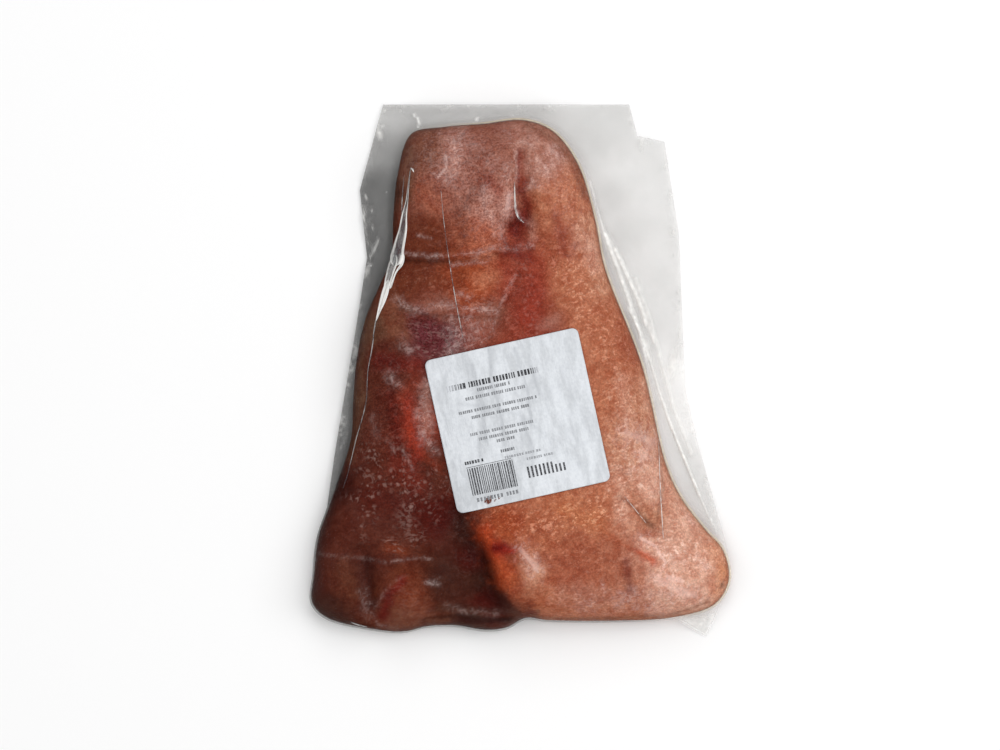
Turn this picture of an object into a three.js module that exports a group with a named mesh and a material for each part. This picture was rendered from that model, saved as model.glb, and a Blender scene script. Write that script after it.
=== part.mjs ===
// A dried, cured pork snout, pressed flat and sealed in a clear vacuum bag, with a square weight sticker on top.
// Millimetres. +Z is up, +Y points to the narrow snout end, +X to the right of the pack as it lies.
// The origin is at the middle of the underside. The meat and the film drawn tight round it are one solid,
// which runs out into the bag's flat border of film. The sticker lies on top.
import * as THREE from "three";

// The meat's edge, seen from above, anticlockwise from the top left corner of the snout end.
const meatEdge = [
  [-53.2, 114], [-59.8, 94], [-61.8, 74], [-62.8, 55], [-69.3, 39], [-75.2, 25], [-79.6, 4], [-81.2, -17],
  [-82.2, -33], [-92.4, -64.5], [-98, -81], [-100, -98], [-101.2, -110.6], [-98.4, -115.6], [-92.4, -119.8],
  [-73, -124.4], [-57, -125.8], [-45, -123.2], [-32, -122.8], [-17, -125], [-7, -123.8], [2, -119.2],
  [12, -120.2], [42, -120.6], [73, -119], [93, -112.8], [99.6, -103], [99.8, -94], [96, -84.4], [89.6, -77.6],
  [76.6, -60.4], [69.4, -44], [58.3, 2.3], [40, 50.7], [35.7, 72.5], [27, 100.3], [14.8, 115.8], [0.7, 120.8],
  [-18, 119], [-38, 117.4],
];

// The film's cut edge, anticlockwise from its top left corner. Where it would cross the meat, it is tucked in.
const filmEdge = [
  [-66.8, 128.4], [-78, 87], [-74.5, 54.5], [-80, 19.4], [-89.8, -38.6], [-94.5, -71.5], [-80, -105],
  [40, -108], [73, -119], [89.2, -128.4], [102, -98.2], [98, -81], [84.8, -33.7], [79.2, -9.7], [78.3, 9.2],
  [76, 65.7], [69, 110.5], [56, 113.3], [52, 128.4],
];

const middle = new THREE.Vector2(-4, -36); // in sight of the whole edge, where the mesh's rings start
const segments = 144; // points round the edge
const topRings = 28; // rings from the middle to the meat's edge, on top
const underRings = 5; // the same, underneath
const borderRings = 3; // rings across the film's border, on each side
const ringBunching = 1.25; // radians of a sine, which sets the rings closer together near the edge

const rimHeight = 5; // where the meat is widest, above the table
const topRounding = 20; // how far in from the edge the side rounds over into the top
const underRounding = 8; // the same, underneath
const bodyThickness = 20.5; // of the meat, before its swellings and folds
const filmFall = 6; // how quickly the border drops from the rim to the table
const borderThickness = 1.1; // the two films of the border, as one sheet
const tuck = 1; // the least width of the border
const borderWave = { height: 1.6, length: 52, reach: 14 };

// Swellings and hollows of the top: middle, half sizes, turn in degrees, height.
const swellings = [
  { at: [10, -20], size: [60, 80], turn: 10, rise: 7 }, // thick middle, under the sticker
  { at: [-35, 92], size: [24, 26], turn: 0, rise: 4 }, // left of the snout end
  { at: [14, 84], size: [13, 34], turn: 12, rise: 3.5 }, // right of the nostril
  { at: [-12, 92], size: [13, 26], turn: -8, rise: 3 }, // left of the nostril
  { at: [-1, 73], size: [7, 11], turn: -10, rise: -5 }, // the nostril's hollow
  { at: [-22, 40], size: [24, 10], turn: -8, rise: 2.6 }, // bulge below the mouth line
  { at: [-44, 10], size: [18, 18], turn: 20, rise: -2.4 }, // sunken patch left of the sticker
  { at: [-64, -64], size: [32, 46], turn: -14, rise: -4.5 }, // the thinner left cheek
  { at: [-88, -100], size: [13, 20], turn: 0, rise: 3.5 }, // outer lump of the left cheek
  { at: [-56, -106], size: [14, 15], turn: 30, rise: 7 }, // inner lump of the left cheek
  { at: [-28, -104], size: [11, 20], turn: 10, rise: -4 }, // shaded hollow between the cheeks
  { at: [66, -100], size: [28, 14], turn: 10, rise: 2 }, // bulge of the right cheek's front
  { at: [88, -92], size: [15, 18], turn: 0, rise: -3 }, // thin heel of the right cheek
  { at: [62, -80], size: [10, 8], turn: -30, rise: -3 }, // dimple above the heel
];

// Folds of the skin: a route, and the half width and depth of the valley along it.
const folds = [
  { route: [[-1, 112], [-0.4, 96], [1, 80]], width: 4.6, depth: 3 }, // the slit above the nostril
  { route: [[-66, 54], [-40, 51], [-22, 53], [-8, 58]], width: 4.6, depth: 3 }, // the mouth line
  { route: [[-60, 31], [-36, 30], [-12, 27]], width: 4.6, depth: 1.4 }, // crease above the sticker
  { route: [[-4, 44], [-12, 30], [-18, 12]], width: 4.6, depth: 1.4 }, // crease to the sticker's corner
  { route: [[-78, -88], [-74, -104], [-70, -124]], width: 5.5, depth: 5.5 }, // between the left cheek's lumps
  { route: [[46, -50], [53, -62], [60, -74]], width: 5, depth: 1.8 }, // crease below the sticker's right side
  { route: [[66, -36], [68, -60], [64, -76]], width: 5, depth: 2.4 }, // the heel's crease
];

// The right cheek laps over the left one. Its edge runs along a route, high on the route's right.
const lap = {
  route: [[-33, -60], [-26, -70], [-17, -86], [-10, -104], [-7, -124]],
  rise: 7.5, ramp: 6, reach: 46, fadeIn: 30,
};

const label = { at: [-2, -24], side: 75, turn: 12.5, corner: 3, thickness: 0.4, gap: 0.45, cells: 14 };

const ease = (t) => {
  const s = THREE.MathUtils.clamp(t, 0, 1);
  return s * s * (3 - 2 * s);
};
const bell = (t) => Math.exp(-t * t);

// Where a point lies by a route: its distance, how far along, and how far to the left hand of the route's run.
function byRoute(x, y, route) {
  let nearest = { distance: Infinity };
  let start = 0;
  for (let i = 1; i < route.length; i++) {
    const [[ax, ay], [bx, by]] = [route[i - 1], route[i]];
    const [dx, dy] = [bx - ax, by - ay];
    const length = Math.hypot(dx, dy);
    const share = THREE.MathUtils.clamp(((x - ax) * dx + (y - ay) * dy) / length ** 2, 0, 1);
    const distance = Math.hypot(x - ax - share * dx, y - ay - share * dy);
    const side = (dx * (y - ay) - dy * (x - ax)) / length;
    if (distance < nearest.distance) nearest = { distance, side, along: start + share * length };
    start += length;
  }
  return nearest;
}

// How far a swelling's height counts at a point, from 0 to 1.
function nearness(x, y, { at, size, turn }) {
  const a = THREE.MathUtils.degToRad(turn);
  const [dx, dy] = [x - at[0], y - at[1]];
  const across = (dx * Math.cos(a) + dy * Math.sin(a)) / size[0];
  const along = (dy * Math.cos(a) - dx * Math.sin(a)) / size[1];
  return bell(Math.hypot(across, along));
}

function lapHeight(x, y) {
  const { side, along } = byRoute(x, y, lap.route);
  const isOver = ease(0.5 + side / (2 * lap.ramp));
  return lap.rise * isOver * ease(along / lap.fadeIn) * bell(Math.max(0, side) / lap.reach);
}

const meatCurve = new THREE.CatmullRomCurve3(
  meatEdge.map(([x, y]) => new THREE.Vector3(x, y, 0)), true, "centripetal",
);
const rim = meatCurve.getSpacedPoints(segments).slice(0, segments).map((p) => new THREE.Vector2(p.x, p.y));
const rimRoute = [...rim, rim[0]].map((p) => [p.x, p.y]);

// How far a surface has rounded over from the rim, from 0 at the rim to 1 at the rounding's reach.
function rounded(x, y, reach) {
  const inside = Math.min(1, byRoute(x, y, rimRoute).distance / reach);
  return Math.sqrt(1 - (1 - inside) ** 2);
}

// The height of the meat's top without its folds.
function smoothTop(x, y) {
  let thickness = bodyThickness + lapHeight(x, y);
  for (const s of swellings) thickness += s.rise * nearness(x, y, s);
  return rimHeight + (thickness - rimHeight) * rounded(x, y, topRounding);
}

// The height of the meat's top. The folds fade out towards the rim.
function meatTop(x, y) {
  const top = smoothTop(x, y);
  let valley = 0;
  for (const f of folds) valley += f.depth * bell(byRoute(x, y, f.route).distance / f.width);
  return top - valley * ease((top - rimHeight) / (bodyThickness - rimHeight));
}

// The height of the underside: flat on the table, rounding up to the rim.
function meatUnder(x, y) {
  return rimHeight * (1 - rounded(x, y, underRounding));
}

// Where a ray from the middle leaves the film's outline, or a little past the meat where the film is tucked in.
function filmPoint(rimPoint) {
  const toRim = rimPoint.clone().sub(middle);
  const ray = toRim.clone().normalize();
  let reach = toRim.length() + tuck;
  filmEdge.forEach(([ax, ay], i) => {
    const [bx, by] = filmEdge[(i + 1) % filmEdge.length];
    const [ex, ey] = [bx - ax, by - ay];
    const [px, py] = [ax - middle.x, ay - middle.y];
    const cross = ray.x * ey - ray.y * ex;
    const along = (px * ey - py * ex) / cross;
    const share = (px * ray.y - py * ray.x) / cross;
    if (share >= 0 && share <= 1 && along > reach) reach = along;
  });
  return ray.multiplyScalar(reach).add(middle);
}

// The film's edge on every ray. Each corner of the film that shows takes the ray nearest to it.
function filmRim() {
  const edge = rim.map(filmPoint);
  for (const [x, y] of filmEdge) {
    const corner = new THREE.Vector2(x, y);
    const distances = edge.map((p) => p.distanceTo(corner));
    const nearest = distances.indexOf(Math.min(...distances));
    const shows = corner.distanceTo(middle) > rim[nearest].distanceTo(middle) + tuck;
    if (shows) edge[nearest] = corner;
  }
  return edge;
}

// The height of the border's sheet, some way out from the meat's rim. It falls to the table and lies in waves.
function borderHeight(x, y, out) {
  const turns = (2 * Math.PI) / borderWave.length;
  const wave = 0.5 + 0.5 * Math.sin((x + y) * turns) * Math.cos(y * turns);
  return rimHeight * Math.exp(-out / filmFall) + borderWave.height * wave * ease(out / borderWave.reach);
}

// A solid needs its points alone.
function bare(geometry) {
  geometry.deleteAttribute("normal");
  geometry.deleteAttribute("uv");
  return geometry;
}

// A sphere's rings, laid out as the pack: its poles are the middle of the top and of the underside.
function packGeometry() {
  const edge = filmRim();
  const rings = topRings + 2 * borderRings + underRings;
  const sphere = new THREE.SphereGeometry(1, segments, rings);
  const position = sphere.getAttribute("position");
  for (let ring = 0; ring <= rings; ring++) {
    const isTop = ring <= topRings + borderRings;
    const meatRings = isTop ? topRings : underRings;
    const step = isTop ? ring : rings - ring;
    const meatShare = Math.sin((step / meatRings) * ringBunching) / Math.sin(ringBunching);
    const borderShare = (step - meatRings) / borderRings;
    for (let i = 0; i <= segments; i++) {
      const [rimPoint, edgePoint] = [rim[i % segments], edge[i % segments]];
      let p = middle.clone().lerp(rimPoint, meatShare);
      let z = isTop ? meatTop(p.x, p.y) : meatUnder(p.x, p.y);
      if (step >= meatRings) {
        p = rimPoint.clone().lerp(edgePoint, borderShare);
        z = borderHeight(p.x, p.y, p.distanceTo(rimPoint));
        if (isTop) z += borderShare < 1 ? borderThickness : borderThickness / 2;
      }
      position.setXYZ(ring * (segments + 1) + i, p.x, p.y, z);
    }
  }
  return bare(sphere);
}

// A thin square with its corners drawn in, bent to the pack's top. It bridges the folds.
function labelGeometry() {
  const plate = new THREE.BoxGeometry(label.side, label.side, label.thickness, label.cells, label.cells, 1);
  const position = plate.getAttribute("position");
  const turn = THREE.MathUtils.degToRad(label.turn);
  const straight = label.side / 2 - label.corner;
  for (let i = 0; i < position.count; i++) {
    let [x, y] = [position.getX(i), position.getY(i)];
    const [pastX, pastY] = [Math.abs(x) - straight, Math.abs(y) - straight];
    if (pastX > 0 && pastY > 0) {
      const pull = Math.max(pastX, pastY) / Math.hypot(pastX, pastY);
      x = Math.sign(x) * (straight + pastX * pull);
      y = Math.sign(y) * (straight + pastY * pull);
    }
    const px = label.at[0] + x * Math.cos(turn) - y * Math.sin(turn);
    const py = label.at[1] + x * Math.sin(turn) + y * Math.cos(turn);
    const lift = label.gap + label.thickness / 2 + position.getZ(i);
    position.setXYZ(i, px, py, smoothTop(px, py) + lift);
  }
  return bare(plate);
}

function named(name, geometry, color, roughness) {
  const mesh = new THREE.Mesh(geometry, new THREE.MeshStandardMaterial({ color, roughness, metalness: 0 }));
  mesh.name = name;
  return mesh;
}

const pack = new THREE.Group();
pack.add(named("vacuum_pack", packGeometry(), 0x9c5238, 0.35));
pack.add(named("label", labelGeometry(), 0xdfe2e5, 0.7));

export default pack;
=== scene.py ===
import math

import bmesh
import bpy
import numpy as np
from mathutils import Matrix, Vector


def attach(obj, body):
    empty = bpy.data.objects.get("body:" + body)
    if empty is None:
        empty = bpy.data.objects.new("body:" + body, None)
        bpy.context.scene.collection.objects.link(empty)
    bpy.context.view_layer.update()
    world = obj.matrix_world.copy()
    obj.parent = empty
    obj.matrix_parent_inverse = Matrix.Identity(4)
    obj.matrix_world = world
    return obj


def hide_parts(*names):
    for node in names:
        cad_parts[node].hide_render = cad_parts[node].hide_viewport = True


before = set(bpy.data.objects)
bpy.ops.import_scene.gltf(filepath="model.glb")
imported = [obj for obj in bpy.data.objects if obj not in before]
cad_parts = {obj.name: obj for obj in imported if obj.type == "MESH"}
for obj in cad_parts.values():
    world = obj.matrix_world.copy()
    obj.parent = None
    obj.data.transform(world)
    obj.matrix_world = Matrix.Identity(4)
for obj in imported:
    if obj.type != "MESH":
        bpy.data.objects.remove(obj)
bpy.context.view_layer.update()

mm = 0.001  # shapes are worked out in millimetres and made in metres

# The meat, as the solids have it. Outlines run anticlockwise from the top left.
meatShape = {
    "edge": [
        (-53.2, 114), (-59.8, 94), (-61.8, 74), (-62.8, 55), (-69.3, 39), (-75.2, 25), (-79.6, 4),
        (-81.2, -17), (-82.2, -33), (-92.4, -64.5), (-98, -81), (-100, -98), (-101.2, -110.6),
        (-98.4, -115.6), (-92.4, -119.8), (-73, -124.4), (-57, -125.8), (-45, -123.2), (-32, -122.8),
        (-17, -125), (-7, -123.8), (2, -119.2), (12, -120.2), (42, -120.6), (73, -119), (93, -112.8),
        (99.6, -103), (99.8, -94),
        (96, -84.4), (89.6, -77.6), (76.6, -60.4), (69.4, -44), (58.3, 2.3), (40, 50.7), (35.7, 72.5),
        (27, 100.3), (14.8, 115.8), (0.7, 120.8), (-18, 119), (-38, 117.4),
    ],
    "middle": (-4, -36),
    "rimHeight": 5,
    "topRounding": 20,
    "underRounding": 8,
    "thickness": 20.5,
    "bunching": 1.25,  # sets the rings closer together near the edge
    "gridSteps": 240,  # pieces that the edge is measured by
}

# How finely the meat and the film on it are cut: segments round, rings on top, rings below.
shellCuts = {"meat": (640, 140, 12), "film": (400, 110, 10)}

# Swellings and hollows: middle, half sizes, turn in degrees, height.
swellings = {
    "thickMiddle": ((10, -20), (60, 80), 10, 7),
    "snoutLeft": ((-35, 92), (24, 26), 0, 4),
    "rightOfNostril": ((14, 84), (13, 34), 12, 3.5),
    "leftOfNostril": ((-12, 92), (13, 26), -8, 3),
    "nostril": ((-1, 73), (7, 11), -10, -5),
    "belowMouth": ((-22, 40), (24, 10), -8, 2.6),
    "sunkenPatch": ((-44, 10), (18, 18), 20, -2.4),
    "leftCheek": ((-64, -64), (32, 46), -14, -4.5),
    "outerLump": ((-88, -100), (13, 20), 0, 3.5),
    "innerLump": ((-56, -106), (14, 15), 30, 7),
    "betweenCheeks": ((-28, -104), (11, 20), 10, -4),
    "rightFront": ((66, -100), (28, 14), 10, 2),
    "heel": ((88, -92), (15, 18), 0, -3),
    "dimple": ((62, -80), (10, 8), -30, -3),
}

# Folds of the skin: route, half width, depth of the valley.
folds = {
    "slit": ([(-1, 112), (-0.4, 96), (1, 80)], 4.6, 3),
    "mouthLine": ([(-66, 54), (-40, 51), (-22, 53), (-8, 58)], 4.6, 3),
    "upperCrease": ([(-60, 31), (-36, 30), (-12, 27)], 4.6, 1.4),
    "cornerCrease": ([(-4, 44), (-12, 30), (-18, 12)], 4.6, 1.4),
    "lumpCrease": ([(-78, -88), (-74, -104), (-70, -124)], 5.5, 5.5),
    "lowerCrease": ([(46, -50), (53, -62), (60, -74)], 5, 1.8),
    "heelCrease": ([(66, -36), (68, -60), (64, -76)], 5, 2.4),
}

# Sharper creases, which only this surface is fine enough for.
creases = {
    "slitEdge": ([(-1.5, 106), (-1.1, 95), (-1.6, 86)], 0.9, 0.8),
    "slitPocket": ([(-0.6, 84), (1.4, 79), (1.8, 73)], 2.2, 1.6),
    "nostrilPocket": ([(-3.4, 71), (-4, 66.5)], 3, 2.2),
    "palePleat": ([(-3.4, 86), (-3.1, 79), (-1.1, 73.6), (2.2, 70.8)], 0.9, -0.9),
    "archLine": ([(-9, 108), (0, 109.5), (9, 107)], 1.2, 0.6),
    "mouthEdge": ([(-62, 54), (-40, 52), (-26, 52.5), (-10, 58), (4, 57)], 1.3, 1.5),
    "bandEdge": ([(-60, 31), (-46, 27.5), (-34, 27), (-14, 26.5)], 1.2, 0.9),
    "cornerEdge": ([(-1.6, 47), (-11, 27), (-17.7, 13.6)], 1.2, 0.7),
    "heelEdge": ([(67, -40), (68.5, -56), (66, -68)], 1.3, 0.9),
    "lowerEdge": ([(50, -58), (56, -66), (62, -74)], 1.3, 0.5),
    "cheekLip": ([(-44, -117), (-30, -114), (-16, -116), (-6, -117)], 2, 1.8),
    "innerRidge": ([(-58.6, -99.4), (-65.6, -105.4), (-71.5, -116), (-69, -122)], 1.3, -0.8),
    "besideRidge": ([(-56, -102.5), (-62.6, -108), (-66.4, -117)], 2.4, 1.2),
    "leftWrinkle": ([(-94, -82), (-84, -85), (-66, -87), (-48, -88)], 1.4, 0.6),
    "sideWrinkle": ([(-60, -86), (-54, -89), (-44, -89), (-34, -90)], 1.8, 0.8),
}

# The right cheek laps over the left one, high on the route's right.
lap = {
    "route": [(-33, -60), (-26, -70), (-17, -86), (-10, -104), (-7, -124)],
    "rise": 7.5, "ramp": 4, "reach": 46, "fadeIn": 30,
}

meatRelief = [(15, 0.45, 3), (7, 0.28, 5), (3.6, 0.14, 8)]  # size, height and seed of the skin's unevenness

# The sticker: middle, side, turn in degrees, corner radius, thickness, gap to the film below it.
sticker = {
    "at": (-2, -24), "side": 75, "turn": 12.5, "corner": 3, "thickness": 0.12, "lift": 0.45, "cells": 130,
    "besideReach": 6,  # the skin turns uneven again over this distance beside it
}

# Gaps above the meat: the film drawn round it, and the start of the border over that film.
filmLift = {"skin": 0.2, "border": 0.5}

# The share of a fold's or a crease's depth that the drawn film spans.
bridged = {"folds": 0.25, "creases": 0.7}


def ease(t):
    s = np.clip(t, 0, 1)
    return s * s * (3 - 2 * s)


def bell(t):
    return np.exp(-t * t)


def byRoute(x, y, route):
    # distance from a route, side of it (positive on the left hand), and way along it
    distance = np.full(x.shape, np.inf)
    side = np.zeros(x.shape)
    along = np.zeros(x.shape)
    start = 0
    for (ax, ay), (bx, by) in zip(route, route[1:]):
        dx = bx - ax
        dy = by - ay
        length = math.hypot(dx, dy)
        share = np.clip(((x - ax) * dx + (y - ay) * dy) / length**2, 0, 1)
        gap = np.hypot(x - ax - share * dx, y - ay - share * dy)
        nearer = gap < distance
        distance = np.where(nearer, gap, distance)
        side = np.where(nearer, (dx * (y - ay) - dy * (x - ax)) / length, side)
        along = np.where(nearer, start + share * length, along)
        start += length
    return distance, side, along


def nearness(x, y, at, size, turn):
    a = math.radians(turn)
    across = ((x - at[0]) * math.cos(a) + (y - at[1]) * math.sin(a)) / size[0]
    along = ((y - at[1]) * math.cos(a) - (x - at[0]) * math.sin(a)) / size[1]
    return bell(np.hypot(across, along))


def softNoise(x, y, size, seed):
    # smooth hills and hollows between -1 and 1, about size across
    table = np.random.default_rng(seed).uniform(-1, 1, (128, 128))
    u = x / size + 64
    v = y / size + 64
    i = np.floor(u).astype(int)
    j = np.floor(v).astype(int)
    s = ease(u - i)
    t = ease(v - j)
    near = table[i % 128, j % 128] * (1 - s) + table[(i + 1) % 128, j % 128] * s
    far = table[i % 128, (j + 1) % 128] * (1 - s) + table[(i + 1) % 128, (j + 1) % 128] * s
    return near * (1 - t) + far * t


def smoothRun(rows, closed, count):
    # a centripetal curve through the rows, cut into equal lengths
    p = np.array(rows, float)
    if closed:
        p = np.vstack([p[-1:], p, p[:2]])
    else:
        p = np.vstack([2 * p[:1] - p[1:2], p, 2 * p[-1:] - p[-2:-1]])
    share = np.linspace(0, 1, 40, endpoint=False)[:, None]
    runs = []
    for a, b, c, d in zip(p, p[1:], p[2:], p[3:]):
        before, here, after = (math.sqrt(math.dist(s, e)) for s, e in ((a, b), (b, c), (c, d)))
        leave = here * ((b - a) / before - (c - a) / (before + here) + (c - b) / here)
        arrive = here * ((c - b) / here - (d - b) / (here + after) + (d - c) / after)
        blend = ease(share)
        pull = leave * share * (1 - share) ** 2 - arrive * share**2 * (1 - share)
        runs.append(b * (1 - blend) + c * blend + pull)
    line = np.vstack(runs + [p[-2:-1]])
    way = np.concatenate([[0], np.cumsum(np.linalg.norm(np.diff(line[:, :2], axis=0), axis=1))])
    even = np.linspace(0, way[-1], count, endpoint=not closed)
    return np.column_stack([np.interp(even, way, column) for column in line.T])


rimLine = smoothRun(meatShape["edge"], True, meatShape["gridSteps"])
rimRoute = [tuple(p) for p in rimLine] + [tuple(rimLine[0])]


def fromRim(x, y):
    # millimetres inside the meat's edge, negative outside it
    distance, side, _ = byRoute(x, y, rimRoute)
    return np.where(side > 0, distance, -distance)


def rounded(inside, reach):
    t = np.clip(inside / reach, 0, 1)
    return np.sqrt(1 - (1 - t) ** 2)


def smoothTop(x, y, inside):
    _, side, along = byRoute(x, y, lap["route"])
    over = ease(0.5 + side / (2 * lap["ramp"])) * ease(along / lap["fadeIn"])
    thickness = meatShape["thickness"] + lap["rise"] * over * bell(np.maximum(0, side) / lap["reach"])
    for at, size, turn, rise in swellings.values():
        thickness = thickness + rise * nearness(x, y, at, size, turn)
    rim = meatShape["rimHeight"]
    return rim + (thickness - rim) * rounded(inside, meatShape["topRounding"])


def valleys(x, y, routes):
    depth = np.zeros(x.shape)
    for route, width, fall in routes.values():
        distance, _, _ = byRoute(x, y, route)
        depth += fall * bell(distance / width)
    return depth


def onSticker(x, y):
    # millimetres right and up from the sticker's middle
    a = math.radians(sticker["turn"])
    dx = x - sticker["at"][0]
    dy = y - sticker["at"][1]
    return dx * math.cos(a) + dy * math.sin(a), dy * math.cos(a) - dx * math.sin(a)


def fromSticker(u, v):
    a = math.radians(sticker["turn"])
    x = sticker["at"][0] + u * math.cos(a) - v * math.sin(a)
    y = sticker["at"][1] + v * math.cos(a) + u * math.sin(a)
    return x, y


def skinTop(x, y, inside, bridging):
    # top of the meat; bridging from 0 to 1 is how far the folds are spanned instead of followed
    top = smoothTop(x, y, inside)
    rim = meatShape["rimHeight"]
    fade = ease((top - rim) / (meatShape["thickness"] - rim))
    depth = valleys(x, y, folds) * (1 - bridged["folds"] * bridging)
    depth = depth + valleys(x, y, creases) * (1 - bridged["creases"] * bridging)
    relief = sum(high * softNoise(x, y, size, seed) for size, high, seed in meatRelief)
    u, v = onSticker(x, y)
    beside = np.maximum(np.abs(u), np.abs(v)) - sticker["side"] / 2
    return top + (relief * ease(beside / sticker["besideReach"]) - depth) * fade


def readPlaces(mesh):
    places = np.zeros(len(mesh.vertices) * 3)
    mesh.vertices.foreach_get("co", places)
    return places.reshape(-1, 3)


def writePlaces(mesh, places):
    mesh.vertices.foreach_set("co", np.asarray(places, np.float32).ravel())
    mesh.update()


def paintColour(mesh, name, colour):
    layer = mesh.color_attributes.new(name, "FLOAT_COLOR", "POINT")
    solid = np.column_stack([colour, np.ones(len(colour))])
    layer.data.foreach_set("color", solid.astype(np.float32).ravel())


def paintValue(mesh, name, values):
    layer = mesh.attributes.new(name, "FLOAT", "POINT")
    layer.data.foreach_set("value", values.astype(np.float32))


def meshFrom(bm, name):
    mesh = bpy.data.meshes.new(name)
    bm.to_mesh(mesh)
    bm.free()
    return mesh


def welded(mesh):
    # the mesh with its touching edges joined
    bm = bmesh.new()
    bm.from_mesh(mesh)
    bmesh.ops.remove_doubles(bm, verts=bm.verts, dist=0.001 * mm)
    bm.to_mesh(mesh)
    bm.free()
    return mesh


def addPiece(name, mesh, material, replaced, thickness=0):
    piece = bpy.data.objects.new(name, mesh)
    bpy.context.scene.collection.objects.link(piece)
    mesh.materials.append(material)
    mesh.shade_smooth()
    if thickness:
        wall = piece.modifiers.new("wall", "SOLIDIFY")
        wall.thickness = thickness * mm
        wall.offset = -1
    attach(piece, "root")
    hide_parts(replaced)
    return piece


def roundShell(name, cuts, lift, bridging):
    # a sphere laid out as the meat's closed skin, grown by a lift in millimetres
    shape = meatShape
    segments, topRings, underRings = cuts
    rings = topRings + underRings
    bm = bmesh.new()
    bmesh.ops.create_uvsphere(bm, u_segments=segments, v_segments=rings, radius=1)
    mesh = meshFrom(bm, name)
    ball = readPlaces(mesh)
    turn = np.arctan2(ball[:, 1], ball[:, 0]) / (2 * math.pi) * segments
    ring = np.rint(np.arccos(np.clip(ball[:, 2], -1, 1)) / math.pi * rings)
    isTop = ring <= topRings
    step = np.where(isTop, ring / topRings, (rings - ring) / underRings)
    share = np.sin(step * shape["bunching"]) / math.sin(shape["bunching"])
    rim = smoothRun(shape["edge"], True, segments)[np.rint(turn).astype(int) % segments]
    middle = np.array(shape["middle"])
    out = rim - middle
    x, y = (middle + out * share[:, None]).T
    inside = np.where(step > 0.9999, 0, np.maximum(0, fromRim(x, y)))
    top = skinTop(x, y, inside, bridging) + lift
    under = shape["rimHeight"] * (1 - rounded(inside, shape["underRounding"])) + filmLift["border"] - lift
    swell = lift * share**6 / np.linalg.norm(out, axis=1)
    places = np.stack([x + out[:, 0] * swell, y + out[:, 1] * swell, np.where(isTop, top, under)], axis=1)
    writePlaces(mesh, places * mm)
    return mesh, inside, isTop


# Materials. Colours are given as they look in daylight, from 0 to 255.
def linear(colour):
    c = np.array(colour, float) / 255
    return np.where(c <= 0.04045, c / 12.92, ((c + 0.055) / 1.055) ** 2.4)


def addNode(tree, kind, inputs=None, **settings):
    made = tree.nodes.new("ShaderNode" + kind)
    for name, value in settings.items():
        setattr(made, name, value)
    for name, value in (inputs or {}).items():
        if isinstance(value, bpy.types.NodeSocket):
            tree.links.new(value, made.inputs[name])
        else:
            made.inputs[name].default_value = value
    return made


def blended(tree, share, low, high, mode="MIX"):
    made = addNode(tree, "Mix", {0: share, 6: low, 7: high}, data_type="RGBA", blend_type=mode)
    return made.outputs[2]


def lifted(tree, colour, kept, added):
    # the colour times one shade, with another added
    return blended(tree, 1.0, blended(tree, 1.0, colour, kept, "MULTIPLY"), added, "ADD")


def math2(tree, kind, a, b):
    return addNode(tree, "Math", {0: a, 1: b}, operation=kind).outputs[0]


def ramped(tree, value, low, high, lowTo=0.0, highTo=1.0):
    sockets = {0: value, 1: low, 2: high, 3: lowTo, 4: highTo}
    return addNode(tree, "MapRange", sockets, interpolation_type="SMOOTHSTEP").outputs[0]


def noise(tree, place, scale, detail=3, rough=0.6, long=1, turn=0):
    # long draws the pattern out along the y axis, turned by some degrees
    if long != 1:
        along = {"Vector": place, "Rotation": (0, 0, math.radians(turn)), "Scale": (1, long, 1)}
        place = addNode(tree, "Mapping", along, vector_type="TEXTURE").outputs[0]
    made = addNode(tree, "TexNoise", {"Vector": place, "Scale": scale, "Detail": detail, "Roughness": rough})
    return made.outputs[0]


def specks(tree, place, scale, small, large, missing):
    # 1 on specks and 0 between them; the higher missing is, the more of them are small or left out
    cells = addNode(tree, "TexVoronoi", {"Vector": place, "Scale": scale})
    pick = addNode(tree, "SeparateColor", {0: cells.outputs["Color"]}).outputs[0]
    reach = math2(tree, "ADD", cells.outputs["Distance"], math2(tree, "MULTIPLY", pick, missing))
    return ramped(tree, reach, small, large, 1.0, 0.0)


def attribute(tree, name, output):
    return addNode(tree, "Attribute", attribute_name=name).outputs[output]


def newMaterial(name):
    material = bpy.data.materials.new(name)
    material.use_nodes = True
    tree = material.node_tree
    tree.nodes.clear()
    return material, tree, addNode(tree, "TexCoord").outputs["Object"]


def finishMaterial(tree, surface):
    addNode(tree, "OutputMaterial", {"Surface": surface})


def grey(level):
    return (level, level, level, 1)


# The meat's colours, from its darkest hollows to its palest fat.
meatTones = {
    "shade": (56, 18, 11), "clot": (96, 14, 10), "darkBrown": (66, 32, 22), "liver": (84, 38, 27),
    "blood": (106, 28, 20), "plum": (92, 38, 42), "rust": (104, 48, 30), "rimBrown": (96, 64, 48),
    "garnet": (76, 20, 14), "crimson": (146, 42, 30), "umber": (116, 68, 50), "ochre": (124, 78, 50),
    "brick": (133, 58, 42),
    "ember": (154, 72, 42), "dusty": (138, 83, 68), "flame": (190, 72, 34), "copper": (158, 87, 63),
    "tan": (177, 109, 81), "rose": (172, 122, 107), "amber": (200, 124, 78), "sand": (188, 130, 103),
    "fat": (211, 160, 138),
}

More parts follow.
